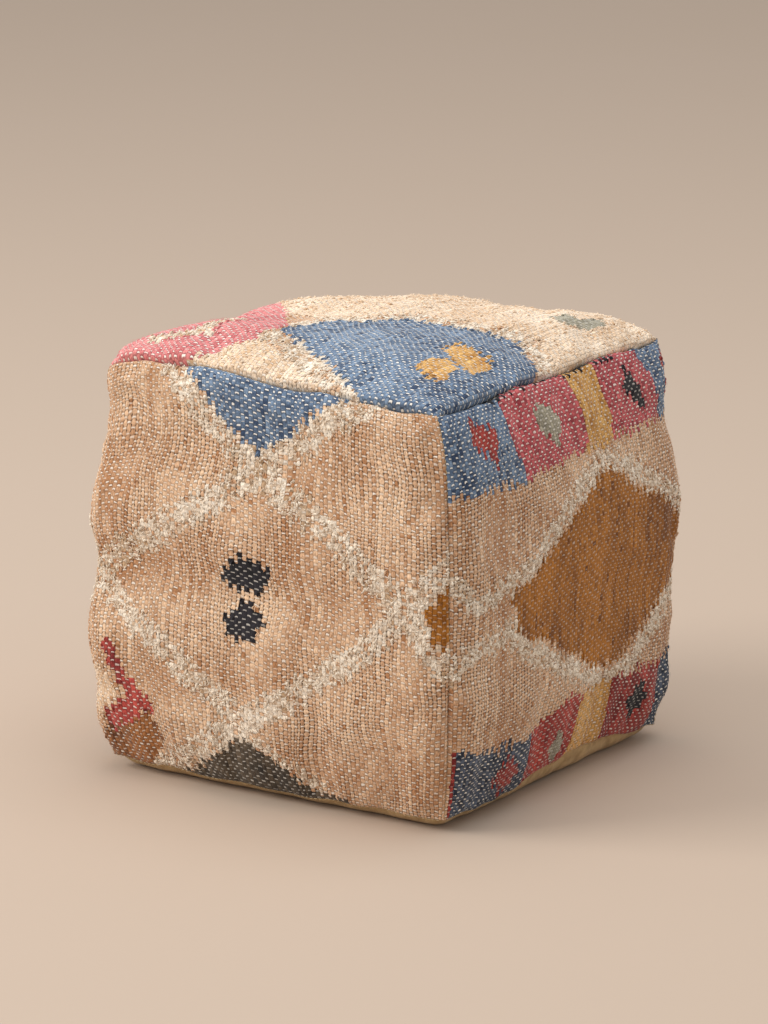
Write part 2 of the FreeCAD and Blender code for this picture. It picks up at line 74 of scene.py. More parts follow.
class Face(Enum):
    """The six faces of the stuffed block, sides first, counted round from the front."""

    FRONT = 0
    RIGHT = 1
    BACK = 2
    LEFT = 3
    TOP = 4
    BASE = 5

    @property
    def axes(self) -> tuple[Array, Array, Array]:
        """Directions of the face, turned by a quarter from side to side.

        Returns:
            Unit vectors along its width, along its height, and out of it.
        """
        if self is Face.TOP:
            return np.array([1.0, 0, 0]), np.array([0, 1.0, 0]), UP
        if self is Face.BASE:
            return np.array([1.0, 0, 0]), np.array([0, -1.0, 0]), -UP
        angle = self.value * math.pi / 2
        along = np.array([math.cos(angle), math.sin(angle), 0.0])
        return along, UP, np.cross(along, UP)


SIDES = (Face.FRONT, Face.RIGHT, Face.BACK, Face.LEFT)


class Seam(Enum):
    """The four seams round a panel."""

    LEFT = 0
    RIGHT = 1
    BASE = 2
    TOP = 3


class Yarn(Enum):
    """Yarns that the kilim is woven from."""

    JUTE = 0
    ECRU = 1
    BLUE = 2
    ROSE = 3
    RED = 4
    MUSTARD = 5
    OCHRE = 6
    TAUPE = 7
    BLACK = 8
    CREAM = 9
    RUST = 10
    # Rose painted lighter, as light on the top panel
    PINK = 11
    SAGE = 12
    # Blue painted darker, as shade low on the right panel
    NAVY = 13


@dataclass(frozen=True)
class YarnFinish:
    """How one yarn looks in the weave.

    The colour runs from light to deep along each yarn. Spread is how far it runs, fleck how much short
    lengths differ, warp the share of the pale warp that shows, lift how proud the yarn stands in
    millimetres, opening how open its weave is and how much painted shade its holes get, and pile how
    much of it is tangled loops, whose pits get painted shade.
    """

    light: Colour
    deep: Colour
    spread: float = 0.5
    fleck: float = 0.5
    warp: float = 1.0
    lift: float = 0.2
    opening: float = 0.1
    pile: float = 0.0


YARNS = {
    Yarn.JUTE: YarnFinish((228, 195, 162), (172, 123, 84), 0.5, 0.4, 0.85, 0.0, 1.0),
    Yarn.ECRU: YarnFinish((246, 235, 218), (182, 152, 120), 0.5, 0.8, 0.6, 0.5, 0.6, 0.55),
    Yarn.BLUE: YarnFinish((122, 144, 170), (50, 68, 96), 0.35, 0.9, 1.0),
    Yarn.ROSE: YarnFinish((208, 104, 107), (146, 54, 62), 0.4, 0.8, 0.9),
    Yarn.RED: YarnFinish((190, 78, 68), (118, 36, 36), 0.5, 0.5, 0.7),
    Yarn.MUSTARD: YarnFinish((228, 182, 112), (174, 120, 54), 0.5, 0.5, 0.7),
    Yarn.OCHRE: YarnFinish((176, 114, 40), (114, 64, 10), 0.6, 0.4, 0.35, 0.3),
    Yarn.TAUPE: YarnFinish((98, 84, 67), (42, 35, 27), 0.5, 0.5, 0.5),
    Yarn.BLACK: YarnFinish((38, 36, 43), (11, 11, 16), 0.5, 0.3, 0.5, 0.7, 0.0),
    Yarn.CREAM: YarnFinish((243, 223, 199), (208, 173, 136), 0.5, 0.5, 0.7, 0.2, 0.5, 0.2),
    Yarn.RUST: YarnFinish((166, 110, 64), (94, 52, 26), 0.7, 0.7, 0.8, 0.1, 0.3),
    # Rose painted lighter, as light on the top panel
    Yarn.PINK: YarnFinish((228, 146, 144), (184, 96, 98), 0.4, 0.8, 1.0),
    Yarn.SAGE: YarnFinish((176, 170, 150), (116, 110, 94), 0.5, 0.5, 0.6),
    # Blue painted darker, as shade low on the right panel
    Yarn.NAVY: YarnFinish((92, 103, 122), (30, 38, 54), 0.4, 0.9, 0.95),
}


# Curve that turns screen colours into linear light
SCREEN_FULL = 255
SCREEN_TOE = 0.04045
SCREEN_TOE_SLOPE = 12.92
SCREEN_OFFSET = 0.055
SCREEN_POWER = 2.4


def linear(colour: Colour) -> Array:
    """Linear light values of a screen colour: a straight toe, then a power curve.

    Args:
        colour: Red, green and blue from 0 to 255.

    Returns:
        Red, green and blue from 0 to 1.
    """
    share = np.asarray(colour, float) / SCREEN_FULL
    curve = ((share + SCREEN_OFFSET) / (1 + SCREEN_OFFSET)) ** SCREEN_POWER
    return np.where(share <= SCREEN_TOE, share / SCREEN_TOE_SLOPE, curve)


def rgba(colour: Colour) -> tuple[float, float, float, float]:
    """Linear colour with full cover, as a colour socket takes it."""
    return (*linear(colour).tolist(), 1.0)


def yarn_colours(yarns: Array, tone: Array) -> Array:
    """Linear colours of yarns: the light colour, moved towards the deep one by the tone.

    Args:
        yarns: Yarn numbers.
        tone: Tones from 0 to 1, with one axis more than the numbers.

    Returns:
        Colours, one row of three for each yarn number.
    """
    light = np.array([linear(YARNS[yarn].light) for yarn in Yarn])[yarns]
    deep = np.array([linear(YARNS[yarn].deep) for yarn in Yarn])[yarns]
    return light + (deep - light) * tone


def slow_waves(u: Array, v: Array, seed: int, cycles: Point, count: int = 14) -> Array:
    """Smooth unevenness of a surface: cosine waves of random heading, length and phase, added up.

    Args:
        u: Places across the surface.
        v: Places up the surface.
        seed: Number that settles the waves.
        cycles: Fewest and most waves over one unit of length.
        count: Number of waves.

    Returns:
        Heights with a mean square of about one.
    """
    rng = np.random.default_rng(seed)
    total = np.zeros(np.broadcast(u, v).shape)
    for _ in range(count):
        heading = rng.uniform(0, TURN)
        rate = TURN * rng.uniform(*cycles)
        phase = rng.uniform(0, TURN)
        total += np.cos(rate * (u * math.cos(heading) + v * math.sin(heading)) + phase)
    return total * math.sqrt(2 / count)


def smooth_step(share: Array) -> Array:
    """Smooth rise from 0 to 1: three times the square, less twice the cube."""
    held = np.clip(share, 0, 1)
    return held * held * (3 - 2 * held)


def taper(share: Array, end: float) -> Array:
    """Thickness along a strand from -0.5 to 0.5: one in the middle, falling by a cosine to its end share."""
    return end + (1 - end) * np.cos(math.pi * share)


def unit(vectors: Array) -> Array:
    """Vectors brought to unit length."""
    return vectors / np.maximum(np.linalg.norm(vectors, axis=-1, keepdims=True), TINY)


def surface_normals(points: Array) -> Array:
    """Outward unit normals of a grid of points: the cross product of its slopes across and upward."""
    return unit(np.cross(np.gradient(points, axis=1), np.gradient(points, axis=0)))


def grid_faces(rows: int, columns: int, closed: bool = False) -> Array:
    """Corner numbers of the quads of a grid of points that are numbered row by row.

    Args:
        rows: Number of rows of points.
        columns: Number of points in a row.
        closed: Whether each row runs round to its start.

    Returns:
        One row of four corner numbers for each quad.
    """
    number = np.arange(rows * columns).reshape(rows, columns)
    if closed:
        number = np.concatenate([number, number[:, :1]], axis=1)
    quads = [number[:-1, :-1], number[:-1, 1:], number[1:, 1:], number[1:, :-1]]
    return np.stack(quads, axis=-1).reshape(-1, 4)


def make_piece(name: str, points: Array, faces: Array) -> Piece:
    """Puts points and quads into a new smooth-shaded mesh object at the origin.

    Args:
        name: Name of the piece.
        points: Places of the vertices, in metres.
        faces: Corner numbers of the quads.

    Returns:
        The new object, linked to the scene.
    """
    mesh = bpy.data.meshes.new(name)
    flat = np.ascontiguousarray(points, dtype=np.float32).reshape(-1)
    corners = np.ascontiguousarray(faces, dtype=np.int32).reshape(-1)
    mesh.vertices.add(len(flat) // 3)
    mesh.vertices.foreach_set("co", flat)
    mesh.loops.add(len(corners))
    mesh.loops.foreach_set("vertex_index", corners)
    mesh.polygons.add(len(corners) // 4)
    mesh.polygons.foreach_set("loop_start", np.arange(0, len(corners), 4, dtype=np.int32))
    mesh.update(calc_edges=True)
    mesh.shade_smooth()
    piece = bpy.data.objects.new(name, mesh)
    bpy.context.scene.collection.objects.link(piece)
    return piece


def set_corner_map(piece: Piece, places: Array) -> None:
    """Gives a piece its own flat map, one place for each corner of each face."""
    layer = piece.data.uv_layers.new(name=BAKE_MAP)
    layer.uv.foreach_set("vector", np.ascontiguousarray(places, dtype=np.float32).reshape(-1))


def set_corner_colour(piece: Piece, name: str, values: Array) -> None:
    """Stores a colour, or three shares, on every corner of each face of a piece.

    Args:
        piece: Piece that takes the values.
        name: Name of the attribute.
        values: One row of three numbers for each face.
    """
    four = np.ones((len(values), 4, 4), np.float32)
    four[:, :, :3] = values[:, None, :]
    layer = piece.data.color_attributes.new(name=name, type="FLOAT_COLOR", domain="CORNER")
    layer.data.foreach_set("color", four.reshape(-1))


def dress(piece: Piece, material: Material, node: str = "") -> None:
    """Gives a new piece its material, hides the CAD node that it stands for, and sets it on the body that it
    rides.

    Args:
        piece: The new piece.
        material: Its material.
        node: CAD node that it stands for, where there is one.
    """
    piece.data.materials.append(material)
    if node:
        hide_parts(node)
    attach(piece, BODY)


def tubes(paths: Array, normals: Array, radii: Array) -> tuple[Array, Array]:
    """Many short tubes at once: a square ring carried along every path, closed by a face at each end.

    Args:
        paths: Points of each path, as tubes by steps by three.
        normals: One direction across each tube.
        radii: Radius at each step of each tube.

    Returns:
        The points and the quads of all the tubes.
    """
    count, steps = paths.shape[:2]
    heading = unit(np.gradient(paths, axis=1))
    side = unit(np.cross(heading, normals[:, None, :]))
    across = np.cross(side, heading)
    first = np.arange(TUBE_SIDES)
    angles = TURN * first / TUBE_SIDES
    ring = side[:, :, None] * np.cos(angles)[:, None] + across[:, :, None] * np.sin(angles)[:, None]
    points = paths[:, :, None] + ring * radii[:, :, None, None]
    walls = grid_faces(steps, TUBE_SIDES, closed=True)
    ends = np.stack([first[::-1], first + (steps - 1) * TUBE_SIDES])
    one = np.concatenate([walls, ends])
    faces = one[None] + (np.arange(count) * steps * TUBE_SIDES)[:, None, None]
    return points.reshape(-1, 3), faces.reshape(-1, 4)


def cubic_weights(places: Array, count: int) -> Array:
    """Matrix from even samples to any places between them.

    Each stretch is a cubic whose slope at a sample is the slope between the samples beside it, and the
    samples run on straight past both ends.

    Args:
        places: Places from 0 to 1.
        count: Number of samples.

    Returns:
        One row of weights for each place.
    """
    at = np.clip(places, 0, 1) * (count - 1)
    first = np.minimum(at.astype(int), count - 2)
    part = at - first
    square = part**2
    cube = part**3
    weights = (
        2 * square - part - cube,
        2 - 5 * square + 3 * cube,
        part + 4 * square - 3 * cube,
        cube - square,
    )
    padded = np.zeros((len(places), count + 2))
    for step, weight in enumerate(weights):
        padded[np.arange(len(places)), first + step] += weight / 2
    matrix = padded[:, 1:-1].copy()
    matrix[:, 0] += 2 * padded[:, 0]
    matrix[:, 1] -= padded[:, 0]
    matrix[:, -1] += 2 * padded[:, -1]
    matrix[:, -2] -= padded[:, -1]
    return matrix


def smooth_curve(values: tuple[float, ...], places: Array) -> Array:
    """Smooth curve in metres, at places from 0 to 1, through evenly spaced values in millimetres."""
    heights = cubic_weights(places.reshape(-1), len(values)) @ np.array(values)
    return heights.reshape(places.shape) * MM


class Blend(Enum):
    """Ways of mixing one colour into another."""

    MIX = "MIX"
    MULTIPLY = "MULTIPLY"


class ShaderGraph:
    """Node tree of one procedural material, ending in a principled surface."""

    sheen_roughness: float = 0.6
    metal_specular: float = 0.5
    cloth_specular: float = 0.2

    def __init__(self, name: str) -> None:
        """Starts a material with nothing but its surface and its output.

        Args:
            name: Name of the material.
        """
        self.material = bpy.data.materials.new(name)
        self.material.use_nodes = True
        self.tree = self.material.node_tree
        self.surface = self.tree.nodes["Principled BSDF"]

    def feed(self, socket: Socket, value: object) -> None:
        """Links a socket to another node's output, or sets it.

        Args:
            socket: Input that takes the value.
            value: Output, number or colour.
        """
        if isinstance(value, Socket):
            self.tree.links.new(value, socket)
        else:
            socket.default_value = value

    def node(self, kind: str, inputs: dict[str, object] | None = None, **options: object) -> bpy.types.Node:
        """Adds a node, sets its options and feeds its inputs.

        Args:
            kind: Blender's name for the node type.
            inputs: Output, number or colour for each input by name.
            options: Options of the node by name.

        Returns:
            The new node.
        """
        made = self.tree.nodes.new(kind)
        for name, value in options.items():
            setattr(made, name, value)
        for name, value in (inputs or {}).items():
            self.feed(made.inputs[name], value)
        return made

    def result(self, kind: str, values: tuple[object, ...], **options: object) -> Socket:
        """Output of a new node whose open inputs are fed in their order.

        Args:
            kind: Blender's name for the node type.
            values: Outputs, numbers or colours.
            options: Options of the node by name.

        Returns:
            The node's first open output.
        """
        made = self.node(kind, **options)
        for socket, value in zip([socket for socket in made.inputs if socket.enabled], values):
            self.feed(socket, value)
        return next(socket for socket in made.outputs if socket.enabled)

    def math(self, operation: str, *values: object) -> Socket:
        """Result of an operation on one, two or three numbers or outputs."""
        return self.result("ShaderNodeMath", values, operation=operation)

    def chain(self, operation: str, *values: object) -> Socket:
        """Result of one operation on any number of values, taken from the left."""
        return reduce(partial(self.math, operation), values)

    def ramp(self, value: Socket, span: Point, heights: Point = (0.0, 1.0)) -> Socket:
        """Smooth step of a value over a span, from the height before it to the height after it."""
        return self.result("ShaderNodeMapRange", (value, *span, *heights), interpolation_type="SMOOTHSTEP")

    def mix(self, share: object, first: object, second: object, blend: Blend = Blend.MIX) -> Socket:
        """A first colour with a share of the second one mixed in."""
        return self.result("ShaderNodeMix", (share, first, second), data_type="RGBA", blend_type=blend.value)

    def noise(self, place: Socket, scale: float, detail: float) -> Socket:
        """Tone of a cloud pattern: clouds over one unit of length, and how many finer ones are added."""
        inputs = {"Vector": place, "Scale": scale, "Detail": detail}
        return self.node("ShaderNodeTexNoise", inputs).outputs["Fac"]

    def stretch(self, place: Socket, scale: Place, shift: Place = (0.0, 0.0, 0.0)) -> Socket:
        """Places stretched along each axis and then shifted."""
        inputs = {"Vector": place, "Location": shift, "Scale": scale}
        return self.node("ShaderNodeMapping", inputs).outputs["Vector"]

    def object_place(self, scale: Place = (1.0, 1.0, 1.0)) -> Socket:
        """The piece's own coordinates in metres, stretched by a scale."""
        return self.stretch(self.node("ShaderNodeTexCoord").outputs["Object"], scale)

    def axes(self, place: Socket) -> list[Socket]:
        """The three coordinates of a place."""
        return list(self.node("ShaderNodeSeparateXYZ", {"Vector": place}).outputs)

    def stored(self, name: str) -> Socket:
        """Colour that is stored on a piece under a name."""
        return self.node("ShaderNodeAttribute", attribute_name=name).outputs["Color"]

    def bump(self, height: Socket, strength: float, distance: float) -> None:
        """Roughens the surface by a pattern of heights, by a share of it and with its unit in metres."""
        inputs = {"Height": height, "Strength": strength, "Distance": distance}
        self.feed(self.surface.inputs["Normal"], self.node("ShaderNodeBump", inputs).outputs["Normal"])

    def finish(self, colour: object, roughness: float, sheen: float = 0.0, metal: float = 0.0) -> Material:
        """Sets the surface's colour and its even values.

        Args:
            colour: Colour or output for the base colour.
            roughness: Even roughness.
            sheen: Weight of the soft sheen of fibres.
            metal: Metallic share.

        Returns:
            The finished material.
        """
        self.feed(self.surface.inputs["Base Color"], colour)
        self.surface.inputs["Roughness"].default_value = roughness
        self.surface.inputs["Metallic"].default_value = metal
        self.surface.inputs["Sheen Weight"].default_value = sheen
        self.surface.inputs["Sheen Roughness"].default_value = self.sheen_roughness
        specular = self.metal_specular if metal else self.cloth_specular
        self.surface.inputs["Specular IOR Level"].default_value = specular
        return self.material


@dataclass(frozen=True)
class Weave:
    """Plain weave of the kilim: thick coloured wefts up each panel, thin pale warps across it.

    Heights are in metres. Widths, reaches and swings are shares of a yarn's own width or height.
    """

    wefts: int = 100
    warps: int = 106
    steps: int = 3
    weft_height: float = 0.8 * MM
    warp_height: float = 0.75 * MM
    hole_depth: float = 0.9 * MM
    fill: float = 0.45
    arch_power: float = 0.7
    weft_swing: float = 0.4
    ridge_reach: float = 0.24
    warp_rest: float = 0.5
    warp_swing: float = 0.7
    uneven_wefts: float = 0.20
    uneven_warps: float = 0.10
    width_range: Point = (0.6, 1.5)
    wander: float = 1.1 * MM
    spare: int = 1

    @property
    def map_counts(self) -> tuple[int, int]:
        """Wefts and warps that a panel's map has room for, with some to spare all round."""
        return self.wefts + 2 * self.spare, self.warps + 2 * self.spare

    def edges(self, count: int, uneven: float, rng: Random) -> Array:
        """Borders of the yarns from 0 to 1: widths that differ a little at random, added up."""
        widths = np.clip(1 + uneven * rng.standard_normal(count), *self.width_range)
        return np.concatenate([[0.0], np.cumsum(widths)]) / widths.sum()

    def samples(self, edges: Array) -> Array:
        """Places of the mesh lines: every yarn's border and even steps between."""
        inner = edges[:-1, None] + np.diff(edges)[:, None] * (np.arange(self.steps) / self.steps)
        return np.append(inner.reshape(-1), 1.0)

    def relief(self, rows: Array, columns: Array, opening: Array) -> Array:
        """Height of the cloth's face.

        A weft is an arch that rises and falls along its length from warp to warp, and a warp is a narrow
        ridge that does so the other way. The face is the higher of the two, and sinks at the holes.

        Args:
            rows: Places in counts of warps.
            columns: Places in counts of wefts.
            opening: Share of the full hole at each place.

        Returns:
            Heights in metres.
        """
        weft_number = np.floor(columns)
        warp_number = np.floor(rows)
        weft_bulge = np.abs(np.sin(math.pi * columns))
        warp_bulge = np.abs(np.sin(math.pi * rows))
        arch = self.fill + (1 - self.fill) * weft_bulge**self.arch_power
        over = np.cos(math.pi * (rows - 0.5) + math.pi * weft_number)
        weft = self.weft_height * arch * (1 - self.weft_swing + self.weft_swing * over)
        ridge = np.exp(-(((rows - warp_number - 0.5) / self.ridge_reach) ** 2))
        under = -np.cos(math.pi * (columns - 0.5) + math.pi * warp_number)
        warp = self.warp_height * ridge * np.clip(self.warp_rest + self.warp_swing * under, 0, 1)
        corner = (1 - weft_bulge) * (1 - warp_bulge)
        return np.maximum(weft, warp) - self.hole_depth * opening * corner


@dataclass(frozen=True)
class Patch:
    """Area of one yarn inside an outline, in millimetres from the panel's lower left corner."""

    yarn: Yarn
    outline: tuple[Point, ...]

    def covers(self, x: Array, y: Array) -> Array:
        """Tells places inside: a line to their right crosses the outline an odd number of times.

        Args:
            x: Places across the panel.
            y: Places up the panel.

        Returns:
            True for each place inside.
        """
        inside = np.zeros(x.shape, bool)
        for (x0, y0), (x1, y1) in zip(self.outline, self.outline[1:] + self.outline[:1]):
            if y0 == y1:
                continue
            crossing = x0 + (y - y0) * (x1 - x0) / (y1 - y0)
            inside ^= ((y0 > y) != (y1 > y)) & (x < crossing)
        return inside


@dataclass(frozen=True)
class Band:
    """Line of one yarn along a path, in millimetres."""

    yarn: Yarn
    path: tuple[Point, ...]
    width: float

    def covers(self, x: Array, y: Array) -> Array:
        """Tells places that lie within half the width of the path's nearest run.

        Args:
            x: Places across the panel.
            y: Places up the panel.

        Returns:
            True for each place on the band.
        """
        inside = np.zeros(x.shape, bool)
        for (x0, y0), (x1, y1) in zip(self.path, self.path[1:]):
            run = (x1 - x0) ** 2 + (y1 - y0) ** 2
            share = np.clip(((x - x0) * (x1 - x0) + (y - y0) * (y1 - y0)) / run, 0, 1)
            apart = np.hypot(x - x0 - share * (x1 - x0), y - y0 - share * (y1 - y0))
            inside |= apart < self.width / 2
        return inside


@dataclass(frozen=True)
class Knot:
    """Small diamond with blunt points and a nub at each side, in millimetres."""

    yarn: Yarn
    centre: Point
    half: Point
    nub: float = 6.0
    nub_height: float = 0.7
    blunt: float = 1.25

    def covers(self, x: Array, y: Array) -> Array:
        """Tells places in the diamond, whose points are cut off at its half sizes, or in its nubs.

        Args:
            x: Places across the panel.
            y: Places up the panel.

        Returns:
            True for each place on the knot.
        """
        across = np.abs(x - self.centre[0])
        upward = np.abs(y - self.centre[1])
        diamond = across / self.half[0] + upward / self.half[1] < self.blunt
        inside = diamond & (across < self.half[0]) & (upward < self.half[1])
        nubs = (across < self.half[0] + self.nub) & (upward < self.nub * self.nub_height)
        return inside | nubs


@dataclass(frozen=True)
class Motif:
    """Pattern of one panel: shapes woven over the jute ground, later ones over earlier ones."""

    shapes: tuple[Patch | Band | Knot, ...]
    width: float = 400.0
    height: float = 400.0
    tooth: float = 2.6
    ragged: float = 1.6
    edge: float = 1.0
    fray: float = 0.22

    def paint(self, columns: Array, rows: Array, rng: Random) -> Array:
        """Yarn number of every crossing.

        The borders are ragged across the wefts: neighbouring wefts turn back one warp apart, so the
        test place moves up and down by a tooth from weft to weft, and a little at random. Jute shows
        through the worn ecru here and there.

        Args:
            columns: Middles of the wefts from 0 to 1.
            rows: Middles of the warps from 0 to 1.
            rng: Source of the random steps.

        Returns:
            Yarn numbers, one row for each warp.
        """
        x = np.broadcast_to(columns * self.width, (len(rows), len(columns)))
        turn = np.where(np.arange(len(columns)) % 2 == 0, self.tooth, -self.tooth)
        step = turn + self.ragged * rng.standard_normal(len(columns))
        y = np.clip(rows[:, None] * self.height + step, self.edge, self.height - self.edge)
        cells = np.full(x.shape, Yarn.JUTE.value)
        for shape in self.shapes:
            cells[shape.covers(x, y)] = shape.yarn.value
        frayed = (cells == Yarn.ECRU.value) & (rng.uniform(size=cells.shape) < self.fray)
        cells[frayed] = Yarn.JUTE.value
        return cells


@dataclass(frozen=True)
class UprightSeam:
    """One upright seam, measured from the photograph where it can be seen.

    The bows say how far the seam stands out of the straight corner, and the asides how far it strays to
    its right, both in millimetres at even heights from the base to the top. The rise lifts its upper end,
    in metres.
    """

    bows: tuple[float, ...]
    asides: tuple[float, ...] = (0.0, 0.0)
    rise: float = 0.0


UPRIGHT_SEAMS = (
    UprightSeam((8, 19, 20, 22, 21, 16.5, 20, 18.5, 11, 8.5, 12), rise=0.003),
    UprightSeam((2, 11, 16, 18, 18.5, 18.5, 18, 16, 12, 8, 3), (2, 2, 2, 2, 2, 2, 2, 2, 2, 0.5, -3), 0.003),
    UprightSeam((5, 13.5, 15, 16, 15.5, 20, 21, 17, 11, 9.5, 8), rise=0.008),
    UprightSeam((4, 11, 16, 18, 18.5, 18.5, 18, 16, 12, 8, 3), rise=-0.012),
)

# Rise of each side's top seam and hem between its corners, in millimetres at even places from the left
TOP_LIFTS = (
    (0, 14, 15.5, 17, 14.5, 11.5, 9.5, 7.5, 4.5, 2, 0),
    (0, 3, 4, 4, 3, 0),
    (0, 6, 8, 8, 10.5, 14, 10, 8, 6, 3, 0),
    (0, -2.5, -0.5, 5, 7.5, 6.5, 5, 3, 8.5, 7, 0),
)
HEM_LIFTS = (
    (0, -1, -3, -1, 0),
    (0, 0, 0, 1.5, 6, 11.5, 13, 11, 7, 2.5, 0),
    (0, 1, 0),
    (0, 1, 0),
)


@dataclass(frozen=True)
class CushionForm:
    """Outer form of the stuffed cover before it is inflated: six patches drawn in along twelve seams."""

    seam_half: float = 0.188
    base_z: float = 0.011
    top_z: float = 0.400
    uprights: tuple[UprightSeam, ...] = UPRIGHT_SEAMS
    edge_bow: float = 0.004
    side_bulge: float = 0.001
    corner_fills: tuple[float, ...] = (-0.004, 0.0, 0.003, 0.0)
    fill_inset: float = 0.13
    fill_reach: float = 0.14
    fill_edge_power: float = 12.0
    top_lifts: tuple[tuple[float, ...], ...] = TOP_LIFTS
    hem_lifts: tuple[tuple[float, ...], ...] = HEM_LIFTS
    hem_wander: float = 0.0022
    crown_rise: float = 0.0125
    crown_power: float = 4.4
    bulge_power: float = 2.8
    base_drop: float = 0.004
    seam_wander: float = 0.0011
    wander_cycles: Point = (1.5, 5.0)
    wander_seed: int = 50

    def upright(self, corner: int, v: Array) -> Array:
        """Seam between two sides: a corner of the square, moved out by its bow and to the side by its aside.

        Args:
            corner: Number of the corner, counted round from the front left one.
            v: Places up the seam from 0 to 1.

        Returns:
            Points of the seam.
        """
        seam = self.uprights[corner]
        half = self.seam_half + smooth_curve(seam.bows, v)
        across, deep = CORNER_SIGNS[corner]
        aside = smooth_curve(seam.asides, v)
        height = self.base_z + (self.top_z + seam.rise - self.base_z) * v
        return np.stack([across * (half + aside), deep * (half - aside), height], axis=-1)

    def edge(self, side: Face, u: Array, at_top: bool) -> Array:
        """Seam along the top or base of a side: a straight run, bowed out by 4u(1-u), lifted and wandering.

        Args:
            side: Side that the seam borders.
            u: Places along the seam from 0 to 1.
            at_top: Whether it is the top seam rather than the hem.

        Returns:
            Points of the seam.
        """
        end = np.array([1.0 if at_top else 0.0])
        left = self.upright(side.value, end)
        right = self.upright((side.value + 1) % len(SIDES), end)
        size = self.seam_wander if at_top else self.hem_wander
        waves = slow_waves(u, 0 * u, self.wander_seed + side.value, self.wander_cycles)
        wander = size * np.sin(math.pi * u) * waves
        lifts = self.top_lifts if at_top else self.hem_lifts
        lift = (smooth_curve(lifts[side.value], u) + wander)[:, None]
        bow = (4 * u * (1 - u) * self.edge_bow)[:, None]
        return left + (right - left) * u[:, None] + bow * side.axes[2] + lift * UP

    def corner_swell(self, u: Array) -> Array:
        """Rise of the top near its corners: a round hill inside each corner, falling away at the seams.

        Args:
            u: Places along both edges from 0 to 1.

        Returns:
            Heights as rows by columns.
        """
        edge = 1 - np.abs(2 * u - 1) ** self.fill_edge_power
        total = np.zeros((len(u), len(u)))
        for fill, (across, deep) in zip(self.corner_fills, CORNER_SIGNS):
            centre_x = 0.5 + across * (0.5 - self.fill_inset)
            centre_y = 0.5 + deep * (0.5 - self.fill_inset)
            hill_x = np.exp(-(((u - centre_x) / self.fill_reach) ** 2))
            hill_y = np.exp(-(((u - centre_y) / self.fill_reach) ** 2))
            total += fill * hill_y[:, None] * hill_x
        return total * edge[:, None] * edge

    @staticmethod
    def patch(base: Array, top: Array, left: Array, right: Array) -> Array:
        """Coons patch: the two ruled surfaces between facing edges, less the one between the corners.

        Args:
            base: Points of the lower edge, from the left.
            top: Points of the upper edge, from the left.
            left: Points of the left edge, from below.
            right: Points of the right edge, from below.

        Returns:
            Points as rows by columns by three.
        """
        u = np.linspace(0, 1, len(base))[None, :, None]
        v = np.linspace(0, 1, len(left))[:, None, None]
        ruled = (1 - v) * base + v * top + (1 - u) * left[:, None] + u * right[:, None]
        corners = (1 - v) * ((1 - u) * base[0] + u * base[-1]) + v * ((1 - u) * top[0] + u * top[-1])
        return ruled - corners

    def grid(self, face: Face, count: int) -> Array:
        """Points of one face, on a square grid that is numbered from its lower left corner.

        Args:
            face: Face of the block.
            count: Points along each edge.

        Returns:
            Points as rows by columns by three.
        """
        u = np.linspace(0, 1, count)
        power = self.bulge_power if face in SIDES else self.crown_power
        hump = 1 - np.abs(2 * u - 1) ** power
        swell = (hump[:, None] * hump)[:, :, None]
        if face in SIDES:
            following = (face.value + 1) % len(SIDES)
            seams = (self.edge(face, u, False), self.edge(face, u, True))
            points = self.patch(*seams, self.upright(face.value, u), self.upright(following, u))
            return points + self.side_bulge * swell * face.axes[2]
        at_top = face is Face.TOP
        front, right, back, left = (self.edge(side, u, at_top) for side in SIDES)
        if at_top:
            rise = self.crown_rise * swell + self.corner_swell(u)[:, :, None]
            return self.patch(front, back[::-1], left[::-1], right) + rise * UP
        points = self.patch(back[::-1], front, left, right[::-1])
        return points - self.base_drop * np.sqrt(swell) * UP


@dataclass(frozen=True)
class ClothGive:
    """How the cover's cloth gives way while it is inflated, as Blender's cloth settings by name."""

    quality: int = 6
    mass: float = 0.4
    tension_stiffness: float = 25.0
    compression_stiffness: float = 25.0
    shear_stiffness: float = 8.0
    bending_stiffness: float = 4.0
    air_damping: float = 4.0


